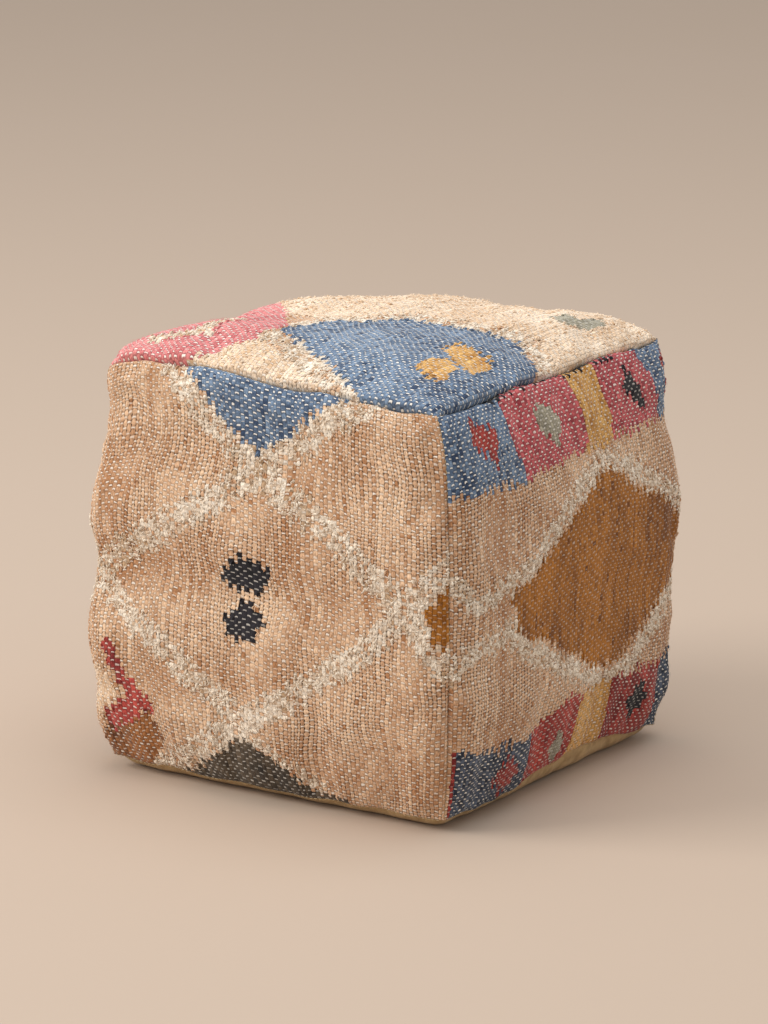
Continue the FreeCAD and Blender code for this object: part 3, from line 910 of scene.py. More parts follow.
@dataclass
class StuffedCover:
    """Cover blown out by its filling, as cloth held along its seams and pressed from inside."""

    form: CushionForm
    count: int = 33
    give: ClothGive = ClothGive()
    pressure: float = 4.0
    steps: int = 20
    slack: float = 0.012
    cap: float = 0.008
    weld: float = 0.0001
    weld_shift: float = 0.37

    def grids(self) -> dict[Face, Array]:
        flat = {face: self.form.grid(face, self.count) for face in Face}
        return self.inflate(flat)

    def sew(self, grids: dict[Face, Array]) -> tuple[Array, Array, Array]:
        """Joins the grids of some faces along their shared edges.

        Args:
            grids: Grid of each face.

        Returns:
            The joined points, the quads, and the joined number of each grid's points.
        """
        points = np.concatenate([grid.reshape(-1, 3) for grid in grids.values()])
        keys = np.floor(points / self.weld + self.weld_shift).astype(np.int64)
        _, first, number = np.unique(keys, axis=0, return_index=True, return_inverse=True)
        number = number.reshape(len(grids), -1)
        faces = number[:, grid_faces(self.count, self.count)].reshape(-1, 4)
        return points[first], faces, number

    def inflate(self, grids: dict[Face, Array]) -> dict[Face, Array]:
        """Presses the sewn faces out from inside by a cloth simulation.

        Args:
            grids: Grid of each face before.

        Returns:
            Grid of each face after, with no point moved further than the cap.
        """
        points, faces, number = self.sew(grids)
        work = make_piece("stuffed_form", points, faces)
        self.pin(work, number.reshape(len(Face), self.count, self.count))
        moved = self.press(work) - points
        length = np.linalg.norm(moved, axis=1, keepdims=True)
        moved *= np.minimum(1, self.cap / np.maximum(length, TINY))
        bpy.data.meshes.remove(work.data)
        found = (points + moved)[number].reshape(len(Face), self.count, self.count, 3)
        return {face: found[face.value] for face in Face}

    def pin(self, work: Piece, number: Array) -> None:
        """Pins the seams and the whole base of the cover.

        Args:
            work: Sewn cover.
            number: Joined number of each face's points.
        """
        held = np.ones(number.shape, bool)
        held[:Face.BASE.value, 1:-1, 1:-1] = False
        work.vertex_groups.new(name="held").add(np.unique(number[held]).tolist(), 1.0, "REPLACE")

    def press(self, work: Piece) -> Array:
        """Runs the cloth until it comes to rest.

        Args:
            work: Sewn cover with its held points.

        Returns:
            Where its points have come to.
        """
        settings = work.modifiers.new("cloth", "CLOTH").settings
        for name, value in asdict(self.give).items():
            setattr(settings, name, value)
        settings.use_pressure = True
        settings.uniform_pressure_force = self.pressure
        settings.shrink_min = -self.slack
        settings.effector_weights.gravity = 0
        settings.vertex_group_mass = "held"
        scene = bpy.context.scene
        for step in range(1, self.steps + 1):
            scene.frame_set(step)
        shown = work.evaluated_get(bpy.context.evaluated_depsgraph_get())
        places = np.empty(len(shown.data.vertices) * 3, np.float32)
        shown.data.vertices.foreach_get("co", places)
        scene.frame_set(1)
        return places.reshape(-1, 3).astype(float)


FALLING: Point = (1.0, 0.0)


@dataclass(frozen=True)
class KilimFinish:
    """Look of the woven kilim, read from the yarn colours of each panel, with painted shade darkening its
    holes and slits, the grooves between wefts, the weft where it dives under the warp, and the pits of the
    pile.

    Spans across and upward are distances from the middle of a crossing, in widths of a yarn. The other
    spans are tones of a noise.
    """

    weave: Weave
    warp_colour: Colour = (248, 243, 234)
    # Colour of the painted shade in holes, slits, grooves between wefts, dives and pits
    painted_shade_colour: Colour = (40, 25, 15)
    husk_colour: Colour = (150, 112, 74)
    wobble_scale: float = 0.8
    wobble_detail: float = 1.0
    wobble: float = 0.8
    sag: float = 0.5
    dash_across: Point = (0.3, 0.45)
    dash_upward: Point = (0.1, 0.24)
    # Where the painted shade of a hole lies round the corner of a crossing
    hole_shade_across: Point = (0.30, 0.46)
    hole_shade_upward: Point = (0.2, 0.4)
    # Painted shade in the grooves between neighbouring wefts
    gap_shade_across: Point = (0.36, 0.5)
    gap: float = 0.3
    # Painted shade where the weft dives under the warp
    dive_shade: float = 0.4
    fibre_stretch: Place = (5.0, 1.2, 1.0)
    fibre_scale: float = 1.0
    tangle_scale: float = 2.6
    detail: float = 3.0
    tone_span: Point = (0.3, 0.7)
    tones: Point = (0.75, 1.45)
    husk_span: Point = (0.58, 0.7)
    husk: float = 0.4
    # Painted shade in the pits between the pile's loops
    pit_shade_span: Point = (0.3, 0.42)
    pit_shade: float = 0.8
    fibre_bump: float = 0.6
    dash_bump: float = 0.5
    bump_strength: float = 0.6
    bump_height: float = 0.7 * MM
    roughness: float = 0.92
    sheen: float = 0.12

    def material(self) -> Material:
        """Streaked wefts, pale warp dashes on every other crossing, and painted shade in holes, grooves,
        dives and pits.

        Returns:
            The finished material.
        """
        graph = ShaderGraph("kilim")
        flat = graph.node("ShaderNodeUVMap", uv_map=BAKE_MAP).outputs["UV"]
        spare = self.weave.spare
        counts = graph.stretch(flat, (*self.weave.map_counts, 1.0), (-spare, -spare, 0.0))
        across, upward, over = self.crossing(graph, counts)
        split = graph.node("ShaderNodeSeparateColor", {"Color": graph.stored(WEAVE_SHARES)})
        shown, opening, pile = split.outputs
        fibre = graph.noise(graph.stretch(counts, self.fibre_stretch), self.fibre_scale, self.detail)
        tangle = graph.noise(counts, self.tangle_scale, self.detail)
        length = graph.ramp(across, self.dash_across, FALLING)
        thickness = graph.ramp(upward, self.dash_upward, FALLING)
        dash = graph.chain("MULTIPLY", length, thickness, over, shown)
        # Painted shade where the weft dives under the warp
        dive_shade = graph.chain("MULTIPLY", over, self.dive_shade, shown)
        # Painted shade in the holes and slits of the open weave
        corner = (graph.ramp(across, self.hole_shade_across), graph.ramp(upward, self.hole_shade_upward))
        hole_shade = graph.chain("MULTIPLY", *corner, opening)
        # Painted shade in the grooves between wefts, where there is no pile
        woven = graph.math("SUBTRACT", 1.0, pile)
        gap = graph.chain("MULTIPLY", graph.ramp(across, self.gap_shade_across), self.gap, woven)
        husk = graph.math("MULTIPLY", graph.ramp(tangle, self.husk_span, (0.0, self.husk)), pile)
        # Painted shade in the pits of the pile
        pit_shade = graph.math("MULTIPLY", graph.ramp(tangle, self.pit_shade_span, (self.pit_shade, 0.0)), pile)
        # Over the yarn colour: painted shade in grooves, dives and pits, the husk's own fibre colour, the
        # pale warp dashes, then painted shade in the holes
        layers = (
            (gap, self.painted_shade_colour, Blend.MULTIPLY),
            (dive_shade, self.painted_shade_colour, Blend.MULTIPLY),
            (husk, self.husk_colour, Blend.MIX),
            (pit_shade, self.painted_shade_colour, Blend.MULTIPLY),
            (dash, self.warp_colour, Blend.MIX),
            (hole_shade, self.painted_shade_colour, Blend.MIX),
        )
        tone = graph.ramp(fibre, self.tone_span, self.tones)
        colour = graph.mix(1.0, graph.stored(YARN_COLOUR), tone, Blend.MULTIPLY)
        for share, layer, blend in layers:
            colour = graph.mix(share, colour, rgba(layer), blend)
        fibres = graph.math("MULTIPLY", fibre, self.fibre_bump)
        dashes = graph.math("MULTIPLY", dash, self.dash_bump)
        tangles = graph.math("MULTIPLY", tangle, pile)
        graph.bump(graph.chain("ADD", fibres, dashes, tangles), self.bump_strength, self.bump_height)
        return graph.finish(colour, self.roughness, sheen=self.sheen)

    def crossing(self, graph: ShaderGraph, counts: Socket) -> tuple[Socket, Socket, Socket]:
        """Where a place lies in its crossing of weft and warp, whose warps wobble and sag.

        Args:
            graph: Graph of the material.
            counts: Places in counts of yarns.

        Returns:
            Distances across and up from the crossing's middle, and 1 where the warp lies on top.
        """
        column, row, _ = graph.axes(counts)
        noise = graph.noise(counts, self.wobble_scale, self.wobble_detail)
        wobble = graph.math("MULTIPLY_ADD", noise, self.wobble, -self.wobble / 2)
        across = self.from_middle(graph, column)
        sag = graph.chain("MULTIPLY", across, across, self.sag)
        level = graph.chain("ADD", row, wobble, sag)
        whole = graph.math("ADD", graph.math("FLOOR", column), graph.math("FLOOR", level))
        return across, self.from_middle(graph, level), graph.math("FLOORED_MODULO", whole, 2.0)

    @staticmethod
    def from_middle(graph: ShaderGraph, count: Socket) -> Socket:
        """Distance of a place from the middle of its yarn, in widths of the yarn."""
        return graph.math("ABSOLUTE", graph.math("SUBTRACT", graph.math("FRACT", count), 0.5))


@dataclass(frozen=True)
class SeamRoll:
    """How a panel's edge rolls in to its seam: a wide shoulder and a narrow groove.

    The seam run turns a place into a length along whatever seam is near, for the unevenness of the roll.
    """

    shoulder: float = 5.0 * MM
    shoulder_reach: float = 16 * MM
    top_reach: float = 9 * MM
    groove: float = 4.0 * MM
    top_groove: float = 9.0 * MM
    groove_reach: float = 2.4 * MM
    turn_in: float = 8 * MM
    hem_turn_in: float = 3 * MM
    hem_share: float = 0.45
    hem_tilt: float = 0.6
    corner_reach: float = 13 * MM
    corner_depths: tuple[float, ...] = (14 * MM, 12 * MM, 11 * MM, 12 * MM)
    hem_corner_depths: tuple[float, ...] = (7 * MM, 5 * MM, 3 * MM, 6 * MM)
    corner_fall: float = 0.6
    full_height: float = 0.4
    uneven: float = 0.25
    uneven_cycles: Point = (6.0, 22.0)
    uneven_seed: int = 5
    seam_run: Place = (1.0, 1.7, 0.6)

    def depth(self, distance: Array, reach: float, groove: float) -> Array:
        """How far the cloth is drawn in near its seam: two exponentials that fall with the distance."""
        shoulder = self.shoulder * np.exp(-distance / reach)
        return shoulder + groove * np.exp(-distance / self.groove_reach)

    def directions(self, face: Face) -> dict[Seam, Array]:
        """Way in to each seam: half way between the face and its neighbour, and flatter at a side's hem.

        Args:
            face: Face that the panel covers.

        Returns:
            One unit direction for each seam.
        """
        along, upward, out = face.axes
        tilt = 1.0 if face is Face.TOP else self.hem_tilt
        ways = {
            Seam.LEFT: along - out,
            Seam.RIGHT: -along - out,
            Seam.BASE: tilt * upward - out,
            Seam.TOP: -upward - out,
        }
        return {seam: unit(way) for seam, way in ways.items()}

    def draw_in(self, points: Array, face: Face, u: Array, v: Array, width: float) -> Array:
        """Moves the points of a panel in to its four seams.

        Args:
            points: Grid of the panel.
            face: Face that the panel covers.
            u: Places of the columns from 0 to 1.
            v: Places of the rows from 0 to 1.
            width: Width and height of the panel in metres.

        Returns:
            The moved grid. Neighbouring panels meet, because the unevenness is read from the place alone.
        """
        ways = self.directions(face)
        reach = self.top_reach if face is Face.TOP else self.shoulder_reach
        along_seam = points @ np.array(self.seam_run)
        waves = slow_waves(along_seam, 0 * along_seam, self.uneven_seed, self.uneven_cycles)
        uneven = 1 + self.uneven * waves
        from_side = 1 - np.exp(-np.minimum(u, 1 - u) * width / self.corner_reach)
        from_end = 1 - np.exp(-np.minimum(v, 1 - v) * width / self.corner_reach)
        hem = 1.0 if face is Face.TOP else self.hem_share
        groove = self.top_groove if face is Face.TOP else self.groove
        depths = {
            Seam.LEFT: from_end[:, None] * self.depth(u * width, reach, groove),
            Seam.RIGHT: from_end[:, None] * self.depth((1 - u) * width, reach, groove),
            Seam.BASE: hem * from_side * self.depth(v * width, reach, groove)[:, None],
            Seam.TOP: from_side * self.depth((1 - v) * width, reach, self.top_groove)[:, None],
        }
        drawn = sum((depth * uneven)[..., None] * ways[seam] for seam, depth in depths.items())
        return points + drawn + self.draw_corners(points, u, v, width)

    def draw_corners(self, points: Array, u: Array, v: Array, width: float) -> Array:
        """Moves that round the panel's corners, fading with the distance from each corner.

        Args:
            points: Grid of the panel.
            u: Places of the columns from 0 to 1.
            v: Places of the rows from 0 to 1.
            width: Width and height of the panel in metres.

        Returns:
            Moves towards the pouf's upright axis, down at the top and up at the hem.
        """
        moves = np.zeros(points.shape)
        for row, from_row in ((0, v), (-1, 1 - v)):
            for column, from_column in ((0, u), (-1, 1 - u)):
                place = points[row, column]
                signs = tuple(np.sign(place[:2]).astype(int).tolist())
                at_top = place[2] > self.full_height / 2
                depths = self.corner_depths if at_top else self.hem_corner_depths
                fall = -self.corner_fall if at_top else self.corner_fall / 2
                way = unit(np.array([-signs[0], -signs[1], fall]))
                apart = np.hypot(from_row[:, None], from_column) * width
                depth = depths[CORNER_SIGNS.index(signs)]
                moves += (depth * np.exp(-apart / self.corner_reach))[..., None] * way
        return moves

    def add_turn_in(self, points: Array, face: Face) -> Array:
        """Adds one more ring of points round a panel, turned in behind its seams.

        Args:
            points: Grid of the panel.
            face: Face that the panel covers.

        Returns:
            The grid with two more rows and columns.
        """
        ways = self.directions(face)
        hem = self.turn_in if face is Face.TOP else self.hem_turn_in
        ring = np.pad(points, ((1, 1), (1, 1), (0, 0)), mode="edge")
        ring[:, 0] += self.turn_in * ways[Seam.LEFT]
        ring[:, -1] += self.turn_in * ways[Seam.RIGHT]
        ring[0] += hem * ways[Seam.BASE]
        ring[-1] += self.turn_in * ways[Seam.TOP]
        return ring


class Pattern(Enum):
    """Slow patterns of a panel, each as a step from the panel's seed."""

    DRIFT_ACROSS = 1
    DRIFT_UP = 2
    RIPPLE = 3
    CLOUD = 4
    LOOSE = 6


@dataclass(frozen=True)
class YarnTones:
    """How the tone of the wefts varies, from light at 0 to deep at 1.

    The middle is the usual tone. Spread weighs the long changes, among them weft for whole wefts and cloud
    for clouds over the panel, and fleck weighs the short ones. Lengths are counted in warps.
    """

    middle: float = 0.45
    spread: float = 0.3
    weft: float = 0.5
    cloud: float = 0.9
    cloud_cycles: Point = (1.0, 5.0)
    fleck: float = 0.28
    streak_warps: int = 11
    fleck_warps: int = 2
    slub_warps: int = 2
    slub_chance: float = 0.003
    slub_run: float = 0.6

    @staticmethod
    def runs(shape: tuple[int, int], length: int, rng: Random) -> Array:
        """Random tones, smoothed along each weft by a bell of a given length.

        Args:
            shape: Rows and columns.
            length: Rows under the bell.
            rng: Source of the random tones.

        Returns:
            Tones with a mean square of about one.
        """
        bell = np.hanning(length + 2)
        bell /= np.linalg.norm(bell)
        return np.apply_along_axis(np.convolve, 0, rng.standard_normal(shape), bell, "same")

    def slubs(self, shape: tuple[int, int], steps: int, rng: Random) -> Array:
        """Places of the slubs, which start at random and run on up the weft with an even chance at each row.

        Args:
            shape: Rows and columns.
            steps: Rows for each warp.
            rng: Source of the random starts and runs.

        Returns:
            True for each place on a slub.
        """
        found = rng.uniform(size=shape) < self.slub_chance
        for _ in range(self.slub_warps * steps):
            found[1:] |= found[:-1] & (rng.uniform(size=found[1:].shape) < self.slub_run)
        return found


@dataclass
class KilimPanel:
    """One woven panel of the cover, with every yarn crossing in its mesh."""

    face: Face
    motif: Motif
    weave: Weave
    roll: SeamRoll
    seed: int
    lean: float = 0.0
    lean_from: float = 0.75
    width: float = 0.40
    cut: float = 0.432
    tones: YarnTones = YarnTones()
    drift_cycles: Point = (2.0, 9.0)
    drift_ease: float = 4.0
    drift_edge: float = 40 * MM
    relief_edge: float = 6 * MM
    ripple: float = 0.45 * MM
    ripple_cycles: Point = (2.0, 7.0)
    lump: float = 0.45 * MM
    pile_cover: float = 0.7
    uneven_lift: float = 0.12
    shown_range: Point = (0.5, 1.15)
    loose_cycles: Point = (2.0, 6.0)
    loose_grain: float = 0.5
    open_rest: float = 0.55
    open_swing: float = 0.65
    slit_chance: float = 0.6
    points: Array | None = None
    normals: Array | None = None
    cells: Array | None = None

    @property
    def name(self) -> str:
        """Name of the panel's CAD node."""
        return self.face.name.lower() + "_panel"

    def build(self, grid: Array, material: Material) -> Piece:
        """Makes the panel's mesh, its map and its yarn colours.

        Args:
            grid: Inflated grid of the face.
            material: Kilim material.

        Returns:
            The finished piece.
        """
        rng = np.random.default_rng(self.seed)
        columns = self.weave.edges(self.weave.wefts, self.weave.uneven_wefts, rng)
        rows = self.weave.edges(self.weave.warps, self.weave.uneven_warps, rng)
        self.cells = self.motif.paint((columns[1:] + columns[:-1]) / 2, (rows[1:] + rows[:-1]) / 2, rng)
        shares = self.shares(rng)
        self.points = self.surface(grid, columns, rows, shares, rng)
        self.normals = surface_normals(self.points)
        ring = self.roll.add_turn_in(self.points, self.face)
        piece = make_piece(self.name + "_kilim", ring, grid_faces(*ring.shape[:2]))
        self.paint(piece, ring.shape[:2], self.colours(rng), shares)
        dress(piece, material, self.name)
        return piece

    def per_yarn(self, field: str) -> Array:
        """Value of one field of the yarn's finish at every crossing."""
        return np.array([getattr(YARNS[yarn], field) for yarn in Yarn])[self.cells]

    def turning(self) -> Array:
        """True at every crossing whose weft is of another yarn than the weft to its left."""
        return np.diff(self.cells, axis=1, prepend=self.cells[:, :1]) != 0

    def waves(self, u: Array, v: Array, pattern: Pattern, cycles: Point) -> Array:
        """Slow waves over the panel that are its own for each pattern."""
        return slow_waves(u[None, :], v[:, None], self.seed + pattern.value, cycles)

    def place(self, grid: Array, u: Array, v: Array) -> Array:
        """Points of the inflated face at the yarns, which lean aside towards the top and drift slowly.

        Args:
            grid: Inflated grid of the face.
            u: Places of the columns from 0 to 1.
            v: Places of the rows from 0 to 1.

        Returns:
            Points as rows by columns by three.
        """
        edge = np.sin(math.pi * u)[None, :]
        aside = self.lean * edge * smooth_step((v[:, None] - self.lean_from) / (1 - self.lean_from))
        drift = self.waves(u, v, Pattern.DRIFT_ACROSS, self.drift_cycles)
        drift *= np.minimum(1, self.drift_ease * edge)
        across = u[None, :] + (aside + self.weave.wander * drift) / self.width
        bands = np.einsum("ri,ijk->rjk", cubic_weights(v, len(grid)), grid)
        weights = cubic_weights(across.reshape(-1), len(grid)).reshape(len(v), len(u), len(grid))
        return np.einsum("rcj,rjk->rck", weights, bands)

    def surface(self, grid: Array, columns: Array, rows: Array, shares: Array, rng: Random) -> Array:
        """Points of the panel: the inflated face, drawn in at its seams, with its yarns standing out.

        Args:
            grid: Inflated grid of the face.
            columns: Borders of the wefts.
            rows: Borders of the warps.
            shares: Shown warp, opening and pile of each crossing.
            rng: Source of the random heights.

        Returns:
            Points as rows by columns by three.
        """
        u = self.weave.samples(columns)
        v = self.weave.samples(rows)
        points = self.roll.draw_in(self.place(grid, u, v), self.face, u, v, self.width)
        normals = surface_normals(points)
        from_edge = np.minimum(np.minimum(u, 1 - u)[None, :], np.minimum(v, 1 - v)[:, None]) * self.width
        drift = self.waves(u, v, Pattern.DRIFT_UP, self.drift_cycles)
        drift *= np.minimum(1, from_edge / self.drift_edge)
        points += (self.weave.wander * drift)[..., None] * self.face.axes[1]
        inner = np.minimum(1, from_edge / self.relief_edge)
        return points + (inner * self.relief(u, v, shares, rng))[..., None] * normals

    def relief(self, u: Array, v: Array, shares: Array, rng: Random) -> Array:
        """Heights of the yarns: the weave, or a random tangle in its place on the pile, lifted and rippled.

        Args:
            u: Places of the columns from 0 to 1.
            v: Places of the rows from 0 to 1.
            shares: Shown warp, opening and pile of each crossing.
            rng: Source of the random heights.

        Returns:
            Heights in metres.
        """
        rows = np.arange(len(v)) / self.weave.steps
        columns = np.arange(len(u)) / self.weave.steps
        row_cell = np.minimum(rows.astype(int), self.weave.warps - 1)
        column_cell = np.minimum(columns.astype(int), self.weave.wefts - 1)
        pick = np.ix_(row_cell, column_cell)
        opening, pile = shares[..., 1][pick], shares[..., 2][pick]
        woven = self.weave.relief(rows[:, None], columns[None, :], opening)
        lift = (self.per_yarn("lift") + self.uneven_lift * rng.standard_normal(self.cells.shape)) * MM
        tangle = self.lump * rng.standard_normal(pile.shape)
        ripple = self.ripple * self.waves(u, v, Pattern.RIPPLE, self.ripple_cycles)
        covered = self.pile_cover * pile
        return (1 - covered) * woven + covered * tangle + lift[pick] + ripple

    def colours(self, rng: Random) -> Array:
        """Linear colour of every short length of weft.

        The tone runs from light to deep. It changes slowly along each weft, from weft to weft, in clouds
        over the panel, and in short flecks. Here and there a slub is as deep as the yarn goes.

        Args:
            rng: Source of the random tones.

        Returns:
            Colours, several rows for each warp and one column for each weft.
        """
        steps = self.weave.steps
        tones = self.tones
        shape = (self.cells.shape[0] * steps, self.cells.shape[1])
        streak = tones.runs(shape, tones.streak_warps * steps, rng)
        fleck = tones.runs(shape, tones.fleck_warps * steps, rng)
        v, u = (np.linspace(0, 1, count) for count in shape)
        cloud = self.waves(u, v, Pattern.CLOUD, tones.cloud_cycles)
        whole = rng.standard_normal(shape[1])[None, :]
        spread = tones.spread * np.repeat(self.per_yarn("spread"), steps, axis=0)
        flecked = tones.fleck * np.repeat(self.per_yarn("fleck"), steps, axis=0)
        long_change = streak + tones.weft * whole + tones.cloud * cloud
        tone = np.clip(tones.middle + spread * long_change + flecked * fleck, 0, 1)
        tone = np.where(tones.slubs(shape, steps, rng), 1, tone)
        return yarn_colours(np.repeat(self.cells, steps, axis=0), tone[..., None])

    def shares(self, rng: Random) -> Array:
        """Shares of shown warp, opening and pile at every crossing, with slits where two yarns turn back.

        Args:
            rng: Source of the random shares.

        Returns:
            Three shares for each crossing.
        """
        shape = self.cells.shape
        shown = np.clip(self.per_yarn("warp") * rng.uniform(*self.shown_range, shape), 0, 1)
        v, u = (np.linspace(0, 1, count) for count in shape)
        loose = self.waves(u, v, Pattern.LOOSE, self.loose_cycles)
        loose += self.loose_grain * rng.standard_normal(shape)
        # The opening sets how much painted shade darkens each hole; a slit below opens fully and gets the
        # full painted shade
        opening = np.clip(self.per_yarn("opening") * (self.open_rest + self.open_swing * loose), 0, 1)
        slit = self.turning() & (rng.uniform(size=shape) < self.slit_chance)
        opening[slit] = 1.0
        return np.stack([shown, opening, self.per_yarn("pile")], axis=-1)

    def paint(self, piece: Piece, shape: tuple[int, int], colours: Array, shares: Array) -> None:
        """Stores the yarn colours on the mesh, and a map in counts of yarns with some to spare all round.

        Args:
            piece: Panel with its turned-in ring.
            shape: Rows and columns of its points.
            colours: Colour of every short length of weft.
            shares: Shown warp, opening and pile of each crossing.
        """
        rows, columns = shape
        steps = self.weave.steps
        row_face = np.clip(np.arange(rows - 1) - 1, 0, self.weave.warps * steps - 1)
        column_cell = np.clip((np.arange(columns - 1) - 1) // steps, 0, self.weave.wefts - 1)
        set_corner_colour(piece, YARN_COLOUR, colours[np.ix_(row_face, column_cell)].reshape(-1, 3))
        set_corner_colour(piece, WEAVE_SHARES, shares[np.ix_(row_face // steps, column_cell)].reshape(-1, 3))
        wefts, warps = self.weave.map_counts
        u = ((np.arange(columns) - 1) / steps + self.weave.spare) / wefts
        v = ((np.arange(rows) - 1) / steps + self.weave.spare) / warps
        places = np.stack(np.broadcast_arrays(u[None, :], v[:, None]), axis=-1).reshape(-1, 2)
        set_corner_map(piece, places[grid_faces(rows, columns)])


@dataclass(frozen=True)
class StrandKind:
    """One kind of loose yarn on a panel.

    Length, radius and rise are each the least and the greatest, in millimetres. The spread is how far the
    strands turn from the weft's direction, in radians.
    """

    count: int
    length: Point
    radius: Point
    rise: Point
    spread: float


@dataclass(frozen=True)
class YarnFuzz:
    """Tangled loops on the pile yarn, knobs where yarns turn back, and loose fibres over a whole panel.

    On the flat map every strand has a small field, and the walls and ends are placed in shares of it.
    """

    loops: StrandKind = StrandKind(1300, (2, 3.8), (0.5, 0.9), (0.2, 0.8), 1.4)
    tufts: StrandKind = StrandKind(600, (2.6, 5), (0.8, 1.4), (0.4, 1.2), 1.4)
    knobs: StrandKind = StrandKind(700, (3, 5), (0.6, 1.0), (0.4, 0.9), 0.3)
    fibres: StrandKind = StrandKind(1200, (4, 13), (0.04, 0.08), (0.8, 3.0), 1.6)
    fibre_ground: float = 0.3
    sink: float = 0.2 * MM
    bend: float = 0.12
    bend_rate: float = 5.0
    end_share: float = 0.45
    tone_shape: Point = (0.6, 1.6)
    steps: int = 5
    seed: int = 7
    wall_start: float = 0.1
    wall_size: Point = (0.6, 0.8)
    end_places: tuple[Point, Point] = ((0.8, 0.2), (0.8, 0.6))
    end_size: float = 0.1

    def build(self, panel: KilimPanel, material: Material) -> Piece:
        """Makes the fuzz of one panel as short tubes that lie on its face.

        Args:
            panel: Panel that has been built.
            material: Fuzz material.

        Returns:
            The finished piece.
        """
        rng = np.random.default_rng(panel.seed + self.seed)
        pile = panel.per_yarn("pile")
        kinds = (
            (self.loops, pile),
            (self.tufts, pile),
            (self.knobs, panel.turning().astype(float)),
            (self.fibres, self.fibre_ground + pile),
        )
        groups = [self.strands(panel, kind, weight, rng) for kind, weight in kinds]
        paths, normals, radii, colours = (np.concatenate(parts) for parts in zip(*groups))
        points, faces = tubes(paths, normals, radii)
        piece = make_piece(panel.name + "_fuzz", points, faces)
        set_corner_colour(piece, YARN_COLOUR, np.repeat(colours, len(faces) // len(paths), axis=0))
        set_corner_map(piece, self.map_places(len(paths)))
        dress(piece, material)
        return piece

    def strands(self, panel: KilimPanel, kind: StrandKind, weight: Array, rng: Random) -> tuple[Array, ...]:
        """Paths of the strands of one kind: arches over the face, bent to one side by a wave.

        Args:
            panel: Panel that the strands lie on.
            kind: Number and sizes of the strands.
            weight: How likely each crossing is to carry a strand.
            rng: Source of the random choices.

        Returns:
            Paths, directions across them, radii and colours.
        """
        count = kind.count
        steps = panel.weave.steps
        cell = rng.choice(weight.size, count, p=weight.reshape(-1) / weight.sum())
        row, column = np.unravel_index(cell, weight.shape)
        place = rng.integers(0, steps, (2, count))
        at = (row * steps + place[0], column * steps + place[1])
        start, normal = panel.points[at], panel.normals[at]
        side = unit(np.cross(panel.face.axes[1], normal))
        weft = np.cross(normal, side)
        turn = kind.spread * rng.standard_normal(count)[:, None]
        heading = np.cos(turn) * weft + np.sin(turn) * side
        share = np.linspace(-0.5, 0.5, self.steps)
        along = rng.uniform(*kind.length, (count, 1)) * MM * share
        arch = rng.uniform(*kind.rise, (count, 1)) * MM * np.cos(math.pi * share) - self.sink
        length = np.ptp(along, axis=1, keepdims=True)
        bend = self.bend * rng.standard_normal((count, 1)) * length * np.cos(self.bend_rate * share)
        terms = ((along, heading), (arch, normal), (bend, np.cross(normal, heading)))
        paths = start[:, None] + sum(size[..., None] * way[:, None] for size, way in terms)
        radii = rng.uniform(*kind.radius, (count, 1)) * MM * taper(share, self.end_share)
        colours = yarn_colours(panel.cells[row, column], rng.beta(*self.tone_shape, (count, 1)))
        return paths, normal, radii, colours

    def map_places(self, count: int) -> Array:
        """Flat map of the strands: a square of small fields, with a strand's walls beside its ends in each.

        Args:
            count: Number of strands.

        Returns:
            Four places for each quad of each strand.
        """
        fields = math.ceil(math.sqrt(count))
        rows = self.steps - 1
        down, across = np.divmod(np.arange(rows * TUBE_SIDES), TUBE_SIDES)
        walls = np.stack([across, down], axis=-1)[:, None] + UNIT_SQUARE
        walls = self.wall_start + walls * (np.array(self.wall_size) / (TUBE_SIDES, rows))
        ends = np.array(self.end_places)[:, None] + self.end_size * UNIT_SQUARE
        field = np.concatenate([walls, ends])
        origin = np.stack(np.divmod(np.arange(count), fields), axis=-1)
        return (origin[:, None, None] + field) / fields


@dataclass(frozen=True)
class ClothFinish:
    """Fine plain cloth or thread: a small weave both ways over a cloudy tone."""

    name: str
    light: Colour
    deep: Colour
    pitch: float
    cloud_scale: float = 90.0
    cloud_detail: float = 4.0
    weave_share: float = 0.16
    tone_span: Point = (0.3, 0.75)
    bump_strength: float = 0.5
    bump_height: float = 0.25 * MM
    roughness: float = 0.9
    sheen: float = 0.1

    def material(self) -> Material:
        """Sine waves across and along, multiplied, over a noise between the two colours.

        Returns:
            The finished material.
        """
        graph = ShaderGraph(self.name)
        rate = TURN / self.pitch
        across, deep, upward = graph.axes(graph.object_place((rate, rate, rate)))
        level = graph.math("SINE", graph.math("ADD", deep, upward))
        weave = graph.math("MULTIPLY", graph.math("SINE", across), level)
        cloud = graph.noise(graph.object_place(), self.cloud_scale, self.cloud_detail)
        share = graph.math("MULTIPLY_ADD", weave, self.weave_share, cloud)
        colour = graph.mix(graph.ramp(share, self.tone_span), rgba(self.light), rgba(self.deep))
        graph.bump(weave, self.bump_strength, self.bump_height)
        return graph.finish(colour, self.roughness, sheen=self.sheen)


COTTON_THREAD = ClothFinish("cotton thread", (214, 190, 150), (170, 142, 104), 0.8 * MM)
NATURAL_CANVAS = ClothFinish("natural canvas", (206, 176, 128), (168, 136, 92), 1.3 * MM)
WHITE_LINING = ClothFinish("white lining", (236, 232, 224), (206, 200, 190), 0.7 * MM)
FOAM_BEADS = ClothFinish("foam beads", (246, 246, 244), (222, 222, 220), 4 * MM)
ZIP_TAPE = ClothFinish("zip tape twill", (168, 138, 98), (128, 100, 66), 0.9 * MM)


